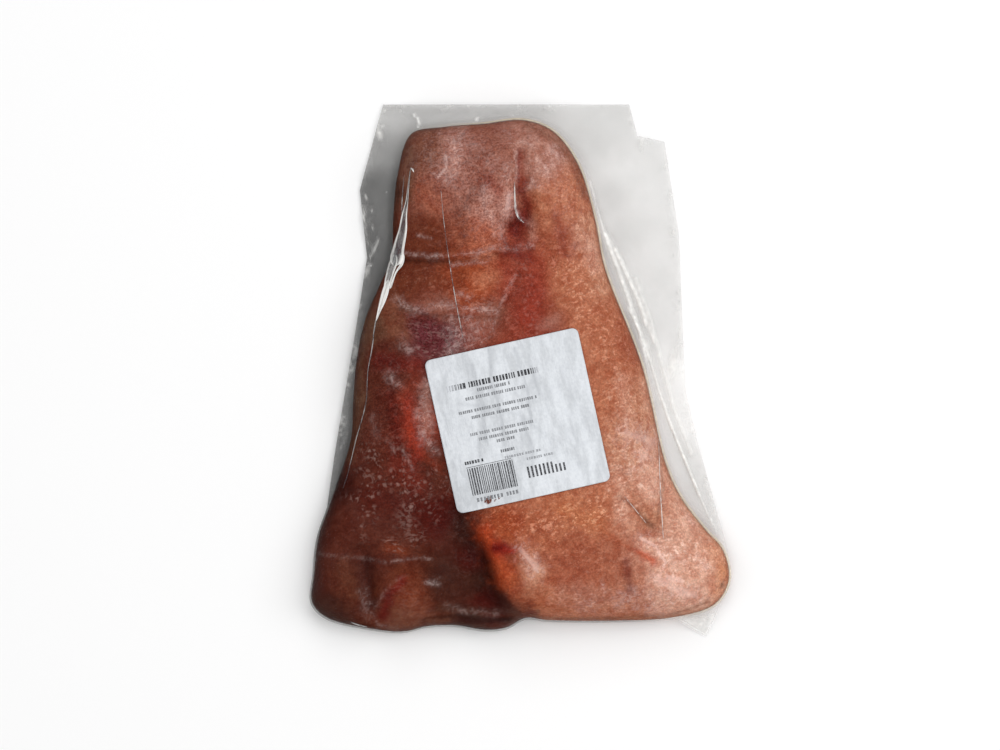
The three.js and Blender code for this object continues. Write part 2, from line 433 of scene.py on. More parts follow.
# Where each tone lies on the meat: tone, middle, size.
meatPatches = {
    "snoutTip": ("dusty", (-25, 112), 8),
    "snoutCorner": ("umber", (-49, 106), 8),
    "snoutEdge": ("rimBrown", (-57, 87), 5),
    "snoutLeft": ("dusty", (-46, 84), 9),
    "snoutLeftLow": ("rust", (-46, 65), 9),
    "snoutMiddle": ("dusty", (-21, 99), 10),
    "snoutPale": ("rose", (-16, 80), 8),
    "snoutLow": ("copper", (-21, 65), 8),
    "slit": ("brick", (1, 90), 2),
    "nostril": ("blood", (0, 72), 5),
    "rightOfSlit": ("rose", (10, 101), 8),
    "rightOfNostril": ("tan", (12, 79), 8),
    "rightTop": ("tan", (24, 85), 9),
    "rightTopEdge": ("sand", (32, 68), 5),
    "belowNostril": ("brick", (-1, 58), 6),
    "redRight": ("copper", (16, 61), 8),
    "mouthLeft": ("rust", (-55, 47), 8),
    "orangeBulge": ("ember", (-25, 43), 9),
    "redMiddle": ("brick", (0, 38), 10),
    "rightUpper": ("tan", (23, 43), 9),
    "rightUpperEdge": ("sand", (38, 43), 5),
    "paleBand": ("dusty", (-39, 30), 6),
    "bandRight": ("dusty", (-13, 28), 5),
    "purplePatch": ("plum", (-44, 17), 8),
    "purpleLeft": ("liver", (-64, 7), 7),
    "leftEdgeUp": ("rimBrown", (-72, 19), 5),
    "underBand": ("umber", (-58, 21), 6),
    "redAbove": ("brick", (5, 20), 8),
    "rightAbove": ("tan", (38, 19), 9),
    "rightEdgeMiddle": ("copper", (53, 12), 5),
    "leftMiddle": ("liver", (-66, -14), 9),
    "palePatch": ("brick", (-50, -27), 6),
    "leftEdgeMiddle": ("rimBrown", (-78, -14), 4),
    "leftOfSticker": ("liver", (-47, -50), 9),
    "leftLower": ("liver", (-70, -50), 9),
    "leftLowEdge": ("shade", (-86, -57), 5),
    "darkRed": ("garnet", (-39, -70), 7),
    "leftLow": ("liver", (-80, -77), 11),
    "rightOfSticker": ("tan", (42, -9), 9),
    "rightEdge": ("sand", (57, -14), 6),
    "rightPale": ("sand", (54, -36), 7),
    "rightLower": ("fat", (62, -52), 4.6),
    "underSticker": ("tan", (9, -72), 10),
    "underStickerRight": ("tan", (38, -62), 9),
    "orangeSpot": ("ember", (-5, -74), 6),
    "redSpot": ("blood", (-12, -85), 3),
    "lobeSide": ("ember", (-6, -98), 5),
    "bump": ("sand", (5, -97), 5),
    "lobeMiddle": ("copper", (23, -93), 10),
    "purpleSpot": ("copper", (50, -96), 2.4),
    "lobeRight": ("fat", (69, -90), 9),
    "whitePatch": ("fat", (72, -105), 8),
    "heel": ("fat", (88, -95), 9),
    "heelRim": ("sand", (97, -96), 4),
    "shoulder": ("fat", (81, -76), 6.4),
    "dimple": ("sand", (62, -72), 4),
    "lobeFront": ("tan", (18, -110), 8),
    "lobeFrontRight": ("tan", (52, -112), 8),
    "lobeEdge": ("rust", (4, -118), 3),
    "shadowHigh": ("liver", (-29, -78), 6),
    "shadow": ("garnet", (-23, -91), 8),
    "shadowMiddle": ("darkBrown", (-22, -101), 8),
    "shadowLow": ("garnet", (-17, -110), 7),
    "brownHollow": ("darkBrown", (-36, -99), 9),
    "lip": ("darkBrown", (-24, -120), 5),
    "innerLump": ("rust", (-56, -105), 9),
    "lumpLow": ("umber", (-56, -118), 5),
    "outerLump": ("liver", (-87, -101), 8),
    "outerLow": ("darkBrown", (-92, -113), 6),
    "lowerLeft": ("liver", (-66, -88), 7),
}

# Strokes of another colour: tone, route, half width, strength.
toneStrokes = {
    "snoutOrange": ("copper", [(-50, 88), (-42, 79)], 6, 0.6),
    "snoutLowLeft": ("rust", [(-49, 72), (-42, 60)], 5, 0.5),
    "snoutArcs": ("rust", [(-27, 99), (-23, 102.4), (-16.6, 103.6)], 1.5, 0.5),
    "snoutRim": ("rimBrown", [(-54.6, 106), (-53, 92), (-55, 82)], 3, 0.6),
    "snoutRimDark": ("darkBrown", [(-58.6, 90), (-60, 76), (-61, 64)], 1.8, 0.5),
    "snoutTopPale": ("rose", [(-34, 108), (-31, 103), (-33, 97)], 4.6, 0.5),
    "snoutDiagonal": ("rust", [(-17, 91), (-23, 84.4), (-28.6, 75.6), (-28, 64)], 3.4, 0.72),
    "snoutStripe": ("dusty", [(-11.6, 82), (-11.2, 73)], 2.4, 0.7),
    "redSnout": ("brick", [(-16, 90), (-7, 83)], 4, 0.6),
    # the slit: its dark line and right wall are partly the meat's red and partly painted shade in the fold
    "slitGroove": ("brick", [(-0.4, 104), (0.6, 94), (1, 87)], 1.5, 0.7),
    "slitLine": ("blood", [(-1.5, 105), (-1.1, 95), (-1.6, 85)], 0.7, 0.8),
    "slitBottomRed": ("crimson", [(3, 82.6), (4, 78.6)], 2, 0.6),
    "rimTopRight": ("umber", [(3, 118), (17, 110.4), (24, 101), (27, 95), (30, 85)], 2.4, 0.6),
    "besideNostril": ("rose", [(4.6, 71), (5.2, 64)], 2.2, 0.5),
    "belowPocket": ("blood", [(-3.4, 62), (-3, 60)], 2.6, 0.5),
    "rightRim": ("fat", [(33, 61), (35.4, 50)], 4, 0.6),
    "rightRimMiddle": ("tan", [(54, 10), (56.4, 2)], 2, 0.5),
    "rightRimLow": ("fat", [(59, -6), (61, -18)], 2.6, 0.5),
    "cheekDark": ("copper", [(46, 22), (47.4, 12)], 3.6, 0.5),
    # below the slit, partly painted shade on the fold's shaded side
    "slitBottom": ("blood", [(0, 85.4), (2, 79.6), (1.6, 73.4)], 2, 0.75),
    # the nostril pocket: partly the meat's red and partly painted shade in the hollow
    "pocketAround": ("brick", [(-4, 70), (-3.4, 64)], 4.4, 0.7),
    "pocket": ("blood", [(-2.6, 70.4), (-4.4, 67.4), (-2.2, 66.4)], 2.7, 0.9),
    "pocketDeep": ("garnet", [(-2.2, 71.6), (-5, 69.4)], 1.7, 0.8),
    "mouthShadow": ("darkBrown", [(-56, 53), (-38, 52.6), (-22, 53.6)], 1.1, 0.35),
    "mouthRed": ("blood", [(-9, 55.6), (4, 55)], 2, 0.6),
    "redRight": ("brick", [(17, 74), (20, 58)], 3, 0.6),
    "redDown": ("crimson", [(8, 52), (9, 40), (3, 26)], 7, 0.4),
    "redCorner": ("crimson", [(-8, 44), (-10, 50)], 4, 0.3),
    "bulgeAround": ("rust", [(-40, 44), (-37, 41), (-31, 40), (-30, 46)], 4.4, 0.6),
    # the bulge's pale tan is partly its own colour and partly a painted highlight
    "bulge": ("tan", [(-19, 43.4), (-13.4, 45)], 4.2, 0.85),
    "mouthRight": ("tan", [(-18, 55), (-14, 55.6)], 3, 0.5),
    "redAbove": ("rose", [(13, 22), (17, 25)], 3.6, 0.5),
    "aboveMouth": ("rust", [(-44, 58), (-31, 58)], 2.6, 0.5),
    "bandShadow": ("rust", [(-58, 26), (-46, 25)], 2, 0.6),
    "orangeLeft": ("umber", [(-62, 38), (-60, 24)], 4, 0.6),
    "leftOfNostril": ("rose", [(-7, 85), (-8, 74)], 2.6, 0.7),
    "purple": ("plum", [(-51, 22), (-44, 20.5), (-38, 18)], 5, 0.85),
    "darkRedLeft": ("blood", [(-68, 5.4), (-56, 2.8), (-50, 3.4)], 4, 0.7),
    "darkRedSide": ("garnet", [(-68, 5.4), (-60, 3)], 3.6, 0.6),
    "redLeft": ("brick", [(-58, -13), (-49, -4)], 4.5, 0.6),
    "paleUnder": ("rose", [(-45.2, -8), (-46, -28)], 2.8, 0.4),
    "darkLeft": ("garnet", [(-62.6, -12), (-59.8, -28), (-58.6, -38)], 4.2, 0.7),
    "brownRim": ("rimBrown", [(-73.4, 24), (-77, 6), (-78.6, -20), (-83, -42)], 2.8, 0.7),
    "vividRed": ("crimson", [(-55, -15), (-53, -30), (-49, -40)], 3.8, 0.5),
    "vividSpot": ("flame", [(-53.6, -18), (-53.6, -31), (-49.5, -39), (-43, -43.4), (-40, -47)], 2.4, 0.13),
    "vividLow": ("crimson", [(-58, -46), (-50, -54)], 6, 0.25),
    "bloodLeft": ("garnet", [(-71, -61), (-60, -65), (-47, -66)], 8, 0.6),
    "darkRimLow": ("shade", [(-79, -48), (-86, -58), (-91, -67), (-95, -78), (-98, -92), (-99, -104)],
                   3.6, 0.55),
    "aboveLine": ("ember", [(-64, -85), (-57, -86.5)], 3, 0.35),
    "lobeTop": ("ember", [(-15, -73), (-8, -73.5), (4, -72)], 5, 0.5),
    "lobeGlow": ("flame", [(-18, -77), (-12.4, -90), (-9.6, -98)], 4.2, 0.6),
    "lobeGlowLow": ("ember", [(-10.6, -94), (-6, -103), (2, -111), (9, -111)], 4, 0.5),
    "lobeCorner": ("rust", [(-1, -113), (3, -113)], 3, 0.5),
    "lobeRed": ("ember", [(12, -68), (24, -67)], 4, 0.3),
    "lobeRedLow": ("copper", [(9, -75), (15, -76)], 3.4, 0.5),
    "lobePink": ("rose", [(20, -105), (40, -108), (58, -106)], 6, 0.4),
    "lobeTanTop": ("amber", [(20, -66), (36, -72)], 6, 0.3),
    "lobeOrange": ("ember", [(4, -80), (12, -82)], 4, 0.4),
    "lobeBrown": ("copper", [(46, -86), (54, -91), (59, -96)], 3.4, 0.6),
    "lobeBrownLeft": ("copper", [(54, -83.6), (46, -81), (43, -93)], 3.2, 0.55),
    "lobeBrownLow": ("copper", [(44, -104), (49, -106)], 3, 0.4),
    "lobeOlive": ("ember", [(14, -100), (21, -100)], 3, 0.4),
    "heelTan": ("amber", [(93, -86), (97, -96), (94, -107)], 4, 0.4),
    "shoulderRim": ("tan", [(87, -76), (89, -79)], 3, 0.5),
    "besideCorner": ("fat", [(47, -48), (48, -60), (48, -71)], 4.4, 0.7),
    "rightSand": ("fat", [(48.4, -4), (50, -22)], 3.8, 0.45),
    "cheekFat": ("fat", [(54, -38), (58, -41)], 3, 0.5),
    "clotAround": ("crimson", [(-11, -85.4), (-6, -86)], 3.4, 0.6),
    "clot": ("clot", [(-13, -85), (-8.4, -84.6)], 1.9, 0.95),
    "clotTail": ("crimson", [(-8, -85.4), (-4, -86.4)], 1.6, 0.8),
    "purpleStreak": ("plum", [(50, -91.5), (51, -97), (52, -104)], 2.4, 0.5),
    "redStreak": ("ember", [(39, -76.5), (50, -84), (63, -91)], 1.7, 0.5),
    "redBesideHeel": ("flame", [(57, -87), (63, -91)], 1.7, 0.6),
    "dimple": ("umber", [(60, -72.6), (63, -74.4)], 1.3, 0.6),
    "dimpleLow": ("copper", [(59, -77), (63, -78)], 2.6, 0.6),
    # the lumps: painted light on their right sides, painted shade, partly the meat's red, on their left sides
    "lumpLitSide": ("copper", [(-57, -107), (-50, -114)], 6, 0.25),
    "lumpRed": ("blood", [(-57.4, -101.4), (-63.4, -107.4), (-66.6, -118)], 2.6, 0.9),
    "lumpShadedSide": ("garnet", [(-63, -104.6), (-67, -111)], 1.8, 0.5),
    "outerLumpLitSide": ("ochre", [(-85, -95), (-81, -106)], 5, 0.2),
    "valley": ("shade", [(-74.5, -92), (-73, -103), (-72.6, -113)], 4, 0.75),
    "lipOlive": ("rimBrown", [(-40, -114.4), (-26, -115), (-13, -116.6)], 2.4, 0.25),
    "lipLine": ("shade", [(-29, -119.4), (-18, -120.6), (-6, -119.4)], 1.4, 0.7),
    "lipLeft": ("umber", [(-44, -120.6), (-36, -120)], 2.4, 0.7),
    "bottomEdge": ("ochre", [(4, -117.6), (12, -118.8), (40, -119.2), (72, -117.6), (90, -111)], 0.9, 0.5),
    "frontDots": ("rimBrown", [(7.8, -115), (8.2, -115.4)], 0.9, 0.7),
    "heelDot": ("rimBrown", [(96.6, -102), (96.2, -104)], 1, 0.7),
}

# Pale, dry-looking haze, partly fat and film haze and partly painted sheen: route, half width, strength.
hazeAndSheenStrokes = {
    "snoutAll": ([(-42, 104), (-26, 92), (-18, 76)], 13, 0.25),
    "snoutTop": ([(-31.6, 111), (-31, 101), (-35, 94)], 6.4, 0.68),
    "snoutArc": ([(-36, 102.6), (-36, 97.2), (-38.3, 94.3), (-40.1, 92.4)], 1.5, 1),
    "snoutTopSpot": ([(-32, 105.6), (-31.6, 102)], 1.8, 0.85),
    "snoutDash": ([(-42, 94.4), (-34, 95.4)], 0.9, 0.7),
    "middleTop": ([(-22, 106), (-14, 98)], 6, 0.35),
    "arch": ([(-6, 108.4), (0, 109.6), (5, 108)], 0.7, 0.8),
    "topGrey": ([(-8, 114), (4, 112)], 5, 0.3),
    "snoutMiddle": ([(-18, 88), (-16.6, 79), (-12, 67)], 3.8, 0.45),
    "besideSlit": ([(-7, 98), (-7.6, 91)], 3.6, 0.66),
    "besideCrease": ([(-6, 83.4), (-6.6, 79), (-7.6, 74)], 2.4, 1),
    "pocketLeft": ([(-9.4, 73), (-9.4, 68), (-8.4, 61.6)], 2.4, 0.6),
    "slitCrease": ([(-3.5, 86.6), (-3.2, 78.8), (-1.1, 73.4), (2.2, 70.8)], 1.1, 0.75),
    "slitLip": ([(-2.9, 105), (-2.7, 90)], 1.1, 0.65),
    "rightSpots": ([(3.6, 88), (5, 90.6), (11, 86.6)], 2, 0.75),
    "rightTopSpots": ([(14, 106), (18, 103)], 2.2, 0.8),
    "rightDots": ([(11, 98), (13, 92)], 1.6, 0.7),
    "rightTopAll": ([(15, 98), (22, 80), (29, 62)], 9, 0.22),
    "mouth": ([(-56, 56), (-44, 54.8), (-38, 54.9)], 1.1, 0.78),
    "mouthMiddle": ([(-36, 55), (-30, 55.4)], 0.8, 0.4),
    "mouthOn": ([(-28, 55.8), (-22, 56.4), (-12, 59)], 1.2, 0.85),
    "mouthEnd": ([(-12, 59), (-4, 58), (5, 60)], 1.5, 0.6),
    "mouthLower": ([(-33, 50.4), (-27, 51.2), (-16, 52.4)], 1.1, 0.7),
    "aboveMouth": ([(-50, 65), (-43, 63)], 0.9, 0.6),
    "bandLeft": ([(-60.5, 34.5), (-51.4, 28.6), (-44, 30)], 1.6, 0.75),
    "bandBlob": ([(-41, 31.4), (-33, 31)], 2, 0.8),
    "bandUp": ([(-30, 36.8), (-25, 35.3)], 1.3, 0.65),
    "bandRight": ([(-28, 29.6), (-12, 28.6)], 1.3, 0.9),
    "corner": ([(-2.8, 45.7), (-9.8, 32.5), (-14.9, 17.3), (-19, 13.3)], 0.7, 0.7),
    "besidePurple": ([(-27, 25), (-21, 19), (-25, 12)], 4.5, 0.55),
    "purpleEnd": ([(-33, 22), (-29.6, 15), (-34, 10)], 4, 0.72),
    "aboveSticker": ([(-19, 22.6), (-15.6, 21.6)], 2.4, 0.45),
    "abovePurple": ([(-57, 12), (-53, 10)], 2.6, 0.5),
    "greySpot": ([(-62.4, -3.2), (-60.4, -6)], 3, 0.64),
    "leftPale": ([(-45.2, -6), (-45.8, -17), (-45.4, -27)], 3.2, 0.74),
    "leftPaleWide": ([(-49.6, -21), (-47, -28)], 3.2, 0.62),
    "leftPaleLow": ([(-47.6, -30), (-42, -38.4)], 2.2, 0.76),
    "sideSpots": ([(-71.6, -22), (-70, -31)], 1.8, 0.2),
    "streakFar": ([(-64.4, -32), (-61, -39)], 0.8, 0.3),
    "streakLeft": ([(-57, -38.4), (-52.6, -46.6)], 0.9, 0.28),
    "acrossCheek": ([(-97, -88.2), (-86, -89.2), (-76, -90), (-65.4, -91.8)], 0.7, 0.3),
    "lineRight": ([(-62.3, -91.5), (-49.8, -89.8), (-43, -90.6)], 0.8, 0.45),
    "lumpCrease": ([(-75.6, -107), (-74, -116)], 2.6, 0.4),
    "lumpRidge": ([(-58.8, -99.4), (-65.6, -105.4), (-71.5, -116.2), (-69, -122.4), (-60, -124.4)], 0.9, 0.3),
    "paleSpot": ([(-45, -101.4), (-40, -102.4)], 1.5, 0.6),
    "lipFilm": ([(-36, -113), (-26, -115.6), (-12, -116.5)], 1.6, 0.3),
    # the bump's whitish patch is a painted highlight
    "bump": ([(0, -86), (5, -91), (7.4, -95)], 4.2, 0.88),
    "bumpHighlight": ([(2.4, -89), (6.4, -94), (7.8, -96.4)], 1.5, 1),
    "heelPale": ([(60, -82), (66, -85), (75, -92)], 4.6, 0.55),
    "heelCrack": ([(57, -80), (64, -84), (69, -92), (66, -99)], 1.3, 1),
    "heelPatch": ([(70, -99), (77, -101)], 2.6, 1),
    "heelSpot": ([(84, -90), (88, -94)], 2, 0.8),
    "heelLow": ([(66, -100), (74, -105), (83, -108)], 5, 0.88),
    "frontLeft": ([(27, -112), (33, -113)], 3.4, 0.5),
    "heelScratch": ([(70, -108), (72.4, -112)], 0.8, 0.9),
    "frontScratch": ([(38.4, -101), (39.6, -106)], 0.7, 0.9),
    "frontScratchRight": ([(60.6, -107), (63.6, -113)], 0.8, 0.9),
    "frontHaze": ([(46, -111), (54, -109), (61, -106)], 4.2, 0.66),
    "frontEdge": ([(56, -112), (68, -115)], 3.8, 0.6),
    "cheekHaze": ([(50, -30), (63, -34), (57, -43)], 6, 0.85),
    "cheekLow": ([(62, -56), (66, -64)], 4, 0.3),
    "shoulderSpot": ([(80, -71), (82, -73)], 2, 0.7),
}

# Deep places that no haze or painted sheen reaches: route, half width, strength.
bareStrokes = {
    "slit": ([(0.4, 84), (2.4, 77)], 2.4, 1),
    "pocket": ([(-3, 70.4), (-4.4, 66)], 3.8, 1),
    "below": ([(-6, 55), (4, 54)], 2, 0.6),
}

# Coarser, stronger grain: route, half width, strength.
grainStrokes = {
    "snout": ([(-42, 104), (-26, 92), (-14, 70)], 20, 1),
    "purple": ([(-50, 20), (-34, 14)], 8, 1),
    "leftSide": ([(-62, -10), (-58, -60)], 16, 0.6),
}

# Grey squiggles and blobs: route, half width, strength.
wormStrokes = {
    "upperLeft": ([(-73, -38), (-69, -45)], 4, 1),
    "middleLeft": ([(-74, -50), (-73.5, -60)], 4.6, 1),
    "lowLeft": ([(-80, -62), (-72, -68)], 4, 1),
    "belowLeft": ([(-76.4, -74), (-76.4, -80)], 2.4, 0.6),
    "column": ([(-59, -36), (-55, -48)], 4, 0.6),
    "redMiddle": ([(1, 50), (5, 30), (4, 19)], 5, 0.45),
    "squiggle": ([(-57, -53), (-52, -64), (-56, -70)], 4.4, 1),
    "squiggleLow": ([(-57, -73), (-52, -80)], 4, 0.8),
    "across": ([(-70, -54), (-58, -50), (-45, -56)], 5, 0.8),
    "besideSticker": ([(-43, -49), (-37, -56)], 3.8, 0.9),
    "nearRed": ([(-46, -62), (-40, -70)], 3.4, 0.7),
    "underPurple": ([(-50, 9), (-38, 6)], 3, 0.4),
    "greySpot": ([(-66, 6), (-56, 0)], 4.5, 0.3),
    "darkSide": ([(-31, -72), (-27, -82), (-28, -96)], 5, 0.2),
}

# Fine pale lines that run across: route, half width, strength.
dashStrokes = {
    "purple": ([(-50, 20), (-40, 17), (-32, 14)], 6, 0.45),
    "underPurple": ([(-48, 10), (-36, 7)], 3, 0.6),
    "ladder": ([(-56, -71), (-51, -80)], 4, 0.6),
    "aboveLine": ([(-64, -82), (-59, -86)], 2.6, 0.7),
    "sideBand": ([(-30, 33), (-16, 31)], 4, 0.6),
    "lump": ([(-58, -106), (-50, -114)], 6, 0.2),
    "snout": ([(-44, 100), (-12, 96)], 12, 0.3),
}

# Pale flecks of fat: route, half width, strength, and how many lie elsewhere on the left and right side.
fewFlecks = {"left": 0.1, "right": 0.22, "middle": -30, "reach": 50}
fleckStrokes = {
    "rightTop": ([(14, 100), (22, 84), (26, 66)], 9, 0.6),
    "rightUpper": ([(20, 56), (32, 30), (44, 10)], 12, 0.75),
    "rightMiddle": ([(46, -8), (54, -30), (50, -50)], 12, 0.6),
    "lobeTop": ([(-14, -71), (10, -75), (40, -66)], 9, 1),
    "lobeMiddle": ([(4, -84), (22, -88), (42, -92)], 10, 0.5),
    "heel": ([(70, -85), (86, -93)], 10, 0.6),
    "front": ([(16, -108), (60, -112)], 7, 0.45),
    "aboveBand": ([(-58, 46), (-40, 43), (-22, 36)], 9, 0.6),
    "redMiddle": ([(-6, 42), (0, 14)], 9, 0.55),
    "left": ([(-62, -4), (-56, -20), (-64, -34)], 9, 0.45),
    "snoutLow": ([(-46, 66), (-30, 66)], 7, 0.5),
}

# Shade beside folds: route, reach on its left hand, reach on its right hand, strength.
shadeLines = {
    "lobeEdge": ([(-29, -69), (-27, -79), (-19.5, -86), (-15.6, -94), (-13.4, -104), (-7, -111), (-1, -117)],
                 2.4, 7, 0.6),
    "mouth": ([(-62, 53), (-40, 52.4), (-24, 52.6), (-12, 56)], 0.5, 1.6, 0.3),
    "band": ([(-58, 30), (-46, 27), (-34, 26), (-14, 25.5)], 0.6, 1.6, 0.3),
    "lip": ([(-46, -119), (-30, -117), (-14, -119), (-4, -119)], 0.8, 2.5, 0.4),
    "heel": ([(66, -38), (68, -56), (65, -70)], 1, 0.6, 0.25),
    "dimple": ([(47, -60), (56, -67), (63, -76)], 0.8, 1.4, 0.3),
}

# The dark line along the meat's edge, partly its own colour and partly painted shade where it turns down,
# wider and darker on the left side, painted as lying in shade: width and strength, what the left side adds
# to both, and how much more of its green and blue is lost than of its red.
rimShade = {
    "width": 1.2, "dark": 0.5, "leftWidth": 1.6, "leftDark": 0.1, "leftReach": 80, "warmth": (0.75, 1, 1.3),
}


def patchWeight(x, y, at, size, core, sharpness):
    # how much a patch counts at a place, most at its middle
    return 1 / (((x - at[0]) ** 2 + (y - at[1]) ** 2) / size**2 + core) ** sharpness


def raggedly(x, y):
    # a factor that roughens the sides of a stroke
    return 1 + 0.35 * softNoise(x, y, 2.6, 61) + 0.25 * softNoise(x, y, 1.5, 63)


def strokesAt(x, y, isTop, strokes):
    most = np.zeros(len(x))
    for route, width, strength in strokes.values():
        most = np.maximum(most, strength * bell(byRoute(x, y, route)[0] * raggedly(x, y) / width))
    return np.where(isTop, most, 0)


def meatColour(x, y, isTop):
    colour = np.zeros((len(x), 3))
    weight = np.full(len(x), 1e-9)
    for tone, at, size in meatPatches.values():
        w = patchWeight(x, y, at, size, 0.35, 2.2)
        colour += w[:, None] * linear(meatTones[tone])
        weight += w
    colour /= weight[:, None]
    for tone, route, width, strength in toneStrokes.values():
        share = strength * bell(byRoute(x, y, route)[0] * raggedly(x, y) / width) * isTop
        colour += (linear(meatTones[tone]) - colour) * share[:, None]
    return colour


def meatShade(x, y, inside):
    shade = np.ones(len(x))
    for route, leftReach, rightReach, strength in shadeLines.values():
        distance, side, _ = byRoute(x, y, route)
        shade *= 1 - strength * bell(distance / np.where(side > 0, leftReach, rightReach))
    # painted shade: the left side, away from the light, gets a wider and darker edge
    left = ease((meatShape["middle"][0] - x) / rimShade["leftReach"])
    width = rimShade["width"] + rimShade["leftWidth"] * left
    rim = (rimShade["dark"] + rimShade["leftDark"] * left) * bell(inside / width)
    return shade[:, None] * (1 - rim[:, None] * rimShade["warmth"])


def meatMaterial():
    material, tree, place = newMaterial("curedMeat")
    painted = (attribute(tree, name, "Fac") for name in ("hazeAndSheen", "worms", "dashes", "flecks", "grain"))
    hazeAndSheen, worms, dashed, flecks, grainy = painted
    wideBend = addNode(tree, "TexNoise", {"Vector": place, "Scale": 170, "Detail": 2}).outputs["Color"]
    fineBend = addNode(tree, "TexNoise", {"Vector": place, "Scale": 700, "Detail": 1}).outputs["Color"]
    bent = blended(tree, 0.0014, blended(tree, 0.0032, place, wideBend, "ADD"), fineBend, "ADD")

    # mottling: redder and darker against paler and browner
    mottle = noise(tree, bent, 230, 6, 0.72)
    tone = blended(tree, ramped(tree, mottle, 0.36, 0.64), (0.78, 0.61, 0.55, 1), (1.07, 1.1, 1.1, 1))
    colour = blended(tree, 1.0, attribute(tree, "paint", "Color"), tone, "MULTIPLY")
    grain = ramped(tree, noise(tree, place, 1000, 3, 0.7), 0.34, 0.66)
    darkGrain = blended(tree, grainy, grey(0.8), (0.64, 0.5, 0.46, 1))
    paleGrain = blended(tree, grainy, grey(1.18), (1.44, 1.54, 1.6, 1))
    colour = blended(tree, 1.0, colour, blended(tree, grain, darkGrain, paleGrain), "MULTIPLY")

    # pale flecks: dots of two sizes, and dashes that lean over
    paler = lifted(tree, colour, (1.45, 1.88, 2.15, 1), (0.03, 0.022, 0.02, 1))
    patchy = math2(tree, "MULTIPLY", flecks, ramped(tree, noise(tree, place, 130, 3), 0.4, 0.6, 0.3, 1.0))
    for scale, small, large, missing in ((340, 0.2, 0.32, 0.35), (640, 0.22, 0.36, 0.3)):
        dots = specks(tree, bent, scale, small, large, missing)
        colour = blended(tree, math2(tree, "MULTIPLY", dots, patchy), colour, paler)
    dashes = ramped(tree, noise(tree, bent, 640, 2, 0.55, 2.2, -72), 0.54, 0.64)
    colour = blended(tree, math2(tree, "MULTIPLY", dashes, flecks), colour, paler)

    # warm grey squiggles, blobs and fine lines
    worn = lifted(tree, colour, grey(0.8), (0.22, 0.155, 0.135, 1))
    lines = addNode(tree, "TexNoise", {"Vector": bent, "Scale": 210, "Detail": 0, "Distortion": 1.2})
    offLine = math2(tree, "ABSOLUTE", math2(tree, "SUBTRACT", lines.outputs[0], 0.5), 0)
    broken = ramped(tree, noise(tree, place, 260, 2), 0.46, 0.56)
    squiggles = math2(tree, "MULTIPLY", ramped(tree, offLine, 0.03, 0.08, 0.5, 0.0), broken)
    blobs = specks(tree, bent, 330, 0.2, 0.5, 0.22)
    shown = math2(tree, "MULTIPLY", math2(tree, "MAXIMUM", squiggles, blobs), worms)
    acrossLines = ramped(tree, noise(tree, bent, 900, 2, 0.5, 4, 84), 0.5, 0.62)
    shown = math2(tree, "MAXIMUM", shown, math2(tree, "MULTIPLY", acrossLines, dashed))
    colour = blended(tree, math2(tree, "MULTIPLY", shown, 0.72), colour, worn)

    # haze and painted sheen as fine strands of two directions, solid only where it is strongest
    hazeAndSheenColour = lifted(tree, colour, grey(0.8), (0.32, 0.25, 0.235, 1))
    slanted = ramped(tree, noise(tree, bent, 820, 3, 0.6, 3.5, -62), 0.5, 0.6)
    upright = ramped(tree, noise(tree, bent, 760, 3, 0.6, 3.5, 14), 0.52, 0.62)
    strands = ramped(tree, math2(tree, "MAXIMUM", slanted, upright), 0.0, 1.0, 0.22, 1.0)
    solid = ramped(tree, hazeAndSheen, 0.66, 0.95, 0.0, 0.9)
    uneven = ramped(tree, noise(tree, place, 260, 3), 0.4, 0.58, 0.55, 1.0)
    thin = math2(tree, "MULTIPLY", math2(tree, "MULTIPLY", hazeAndSheen, strands), uneven)
    colour = blended(tree, math2(tree, "MAXIMUM", thin, solid), colour, hazeAndSheenColour)

    bump = addNode(tree, "Bump", {
        "Height": noise(tree, bent, 520, 5, 0.65), "Strength": 0.7, "Distance": 0.0009,
    }).outputs[0]
    shader = addNode(tree, "BsdfPrincipled", {
        "Base Color": colour, "Roughness": 0.42, "Specular IOR Level": 0.025, "Normal": bump,
    })
    finishMaterial(tree, shader.outputs[0])
    return material


print("meat")
meatMesh, meatInside, meatIsTop = roundShell("curedMeat", shellCuts["meat"], 0, 0)
meatX, meatY, _ = readPlaces(meatMesh).T / mm
meatPaint = meatColour(meatX, meatY, meatIsTop) * meatShade(meatX, meatY, meatInside)
paintColour(meatMesh, "paint", meatPaint)
# haze and painted sheen, left out of the deep places
meatHazeAndSheen = strokesAt(meatX, meatY, meatIsTop, hazeAndSheenStrokes)
paintValue(meatMesh, "hazeAndSheen", meatHazeAndSheen * (1 - strokesAt(meatX, meatY, meatIsTop, bareStrokes)))
for layerName, strokes in {"grain": grainStrokes, "worms": wormStrokes, "dashes": dashStrokes}.items():
    paintValue(meatMesh, layerName, strokesAt(meatX, meatY, meatIsTop, strokes))
onRight = ease((meatX - fewFlecks["middle"]) / fewFlecks["reach"] + 0.5)
meatFlecks = fewFlecks["left"] + (fewFlecks["right"] - fewFlecks["left"]) * onRight
paintValue(meatMesh, "flecks", np.maximum(meatFlecks, strokesAt(meatX, meatY, meatIsTop, fleckStrokes)))
addPiece("curedMeat", meatMesh, meatMaterial(), "vacuum_pack")


# The clear film that is drawn tight round the meat.
def clearFilm(tree, colour, cover, normal, rough):
    # cover is the share of what lies behind that the film hides
    shader = addNode(tree, "BsdfPrincipled", {"Base Color": colour, "Roughness": rough, "Normal": normal})
    through = addNode(tree, "BsdfTransparent").outputs[0]
    mixed = addNode(tree, "MixShader", {0: cover, 1: through, 2: shader.outputs[0]})
    finishMaterial(tree, mixed.outputs[0])


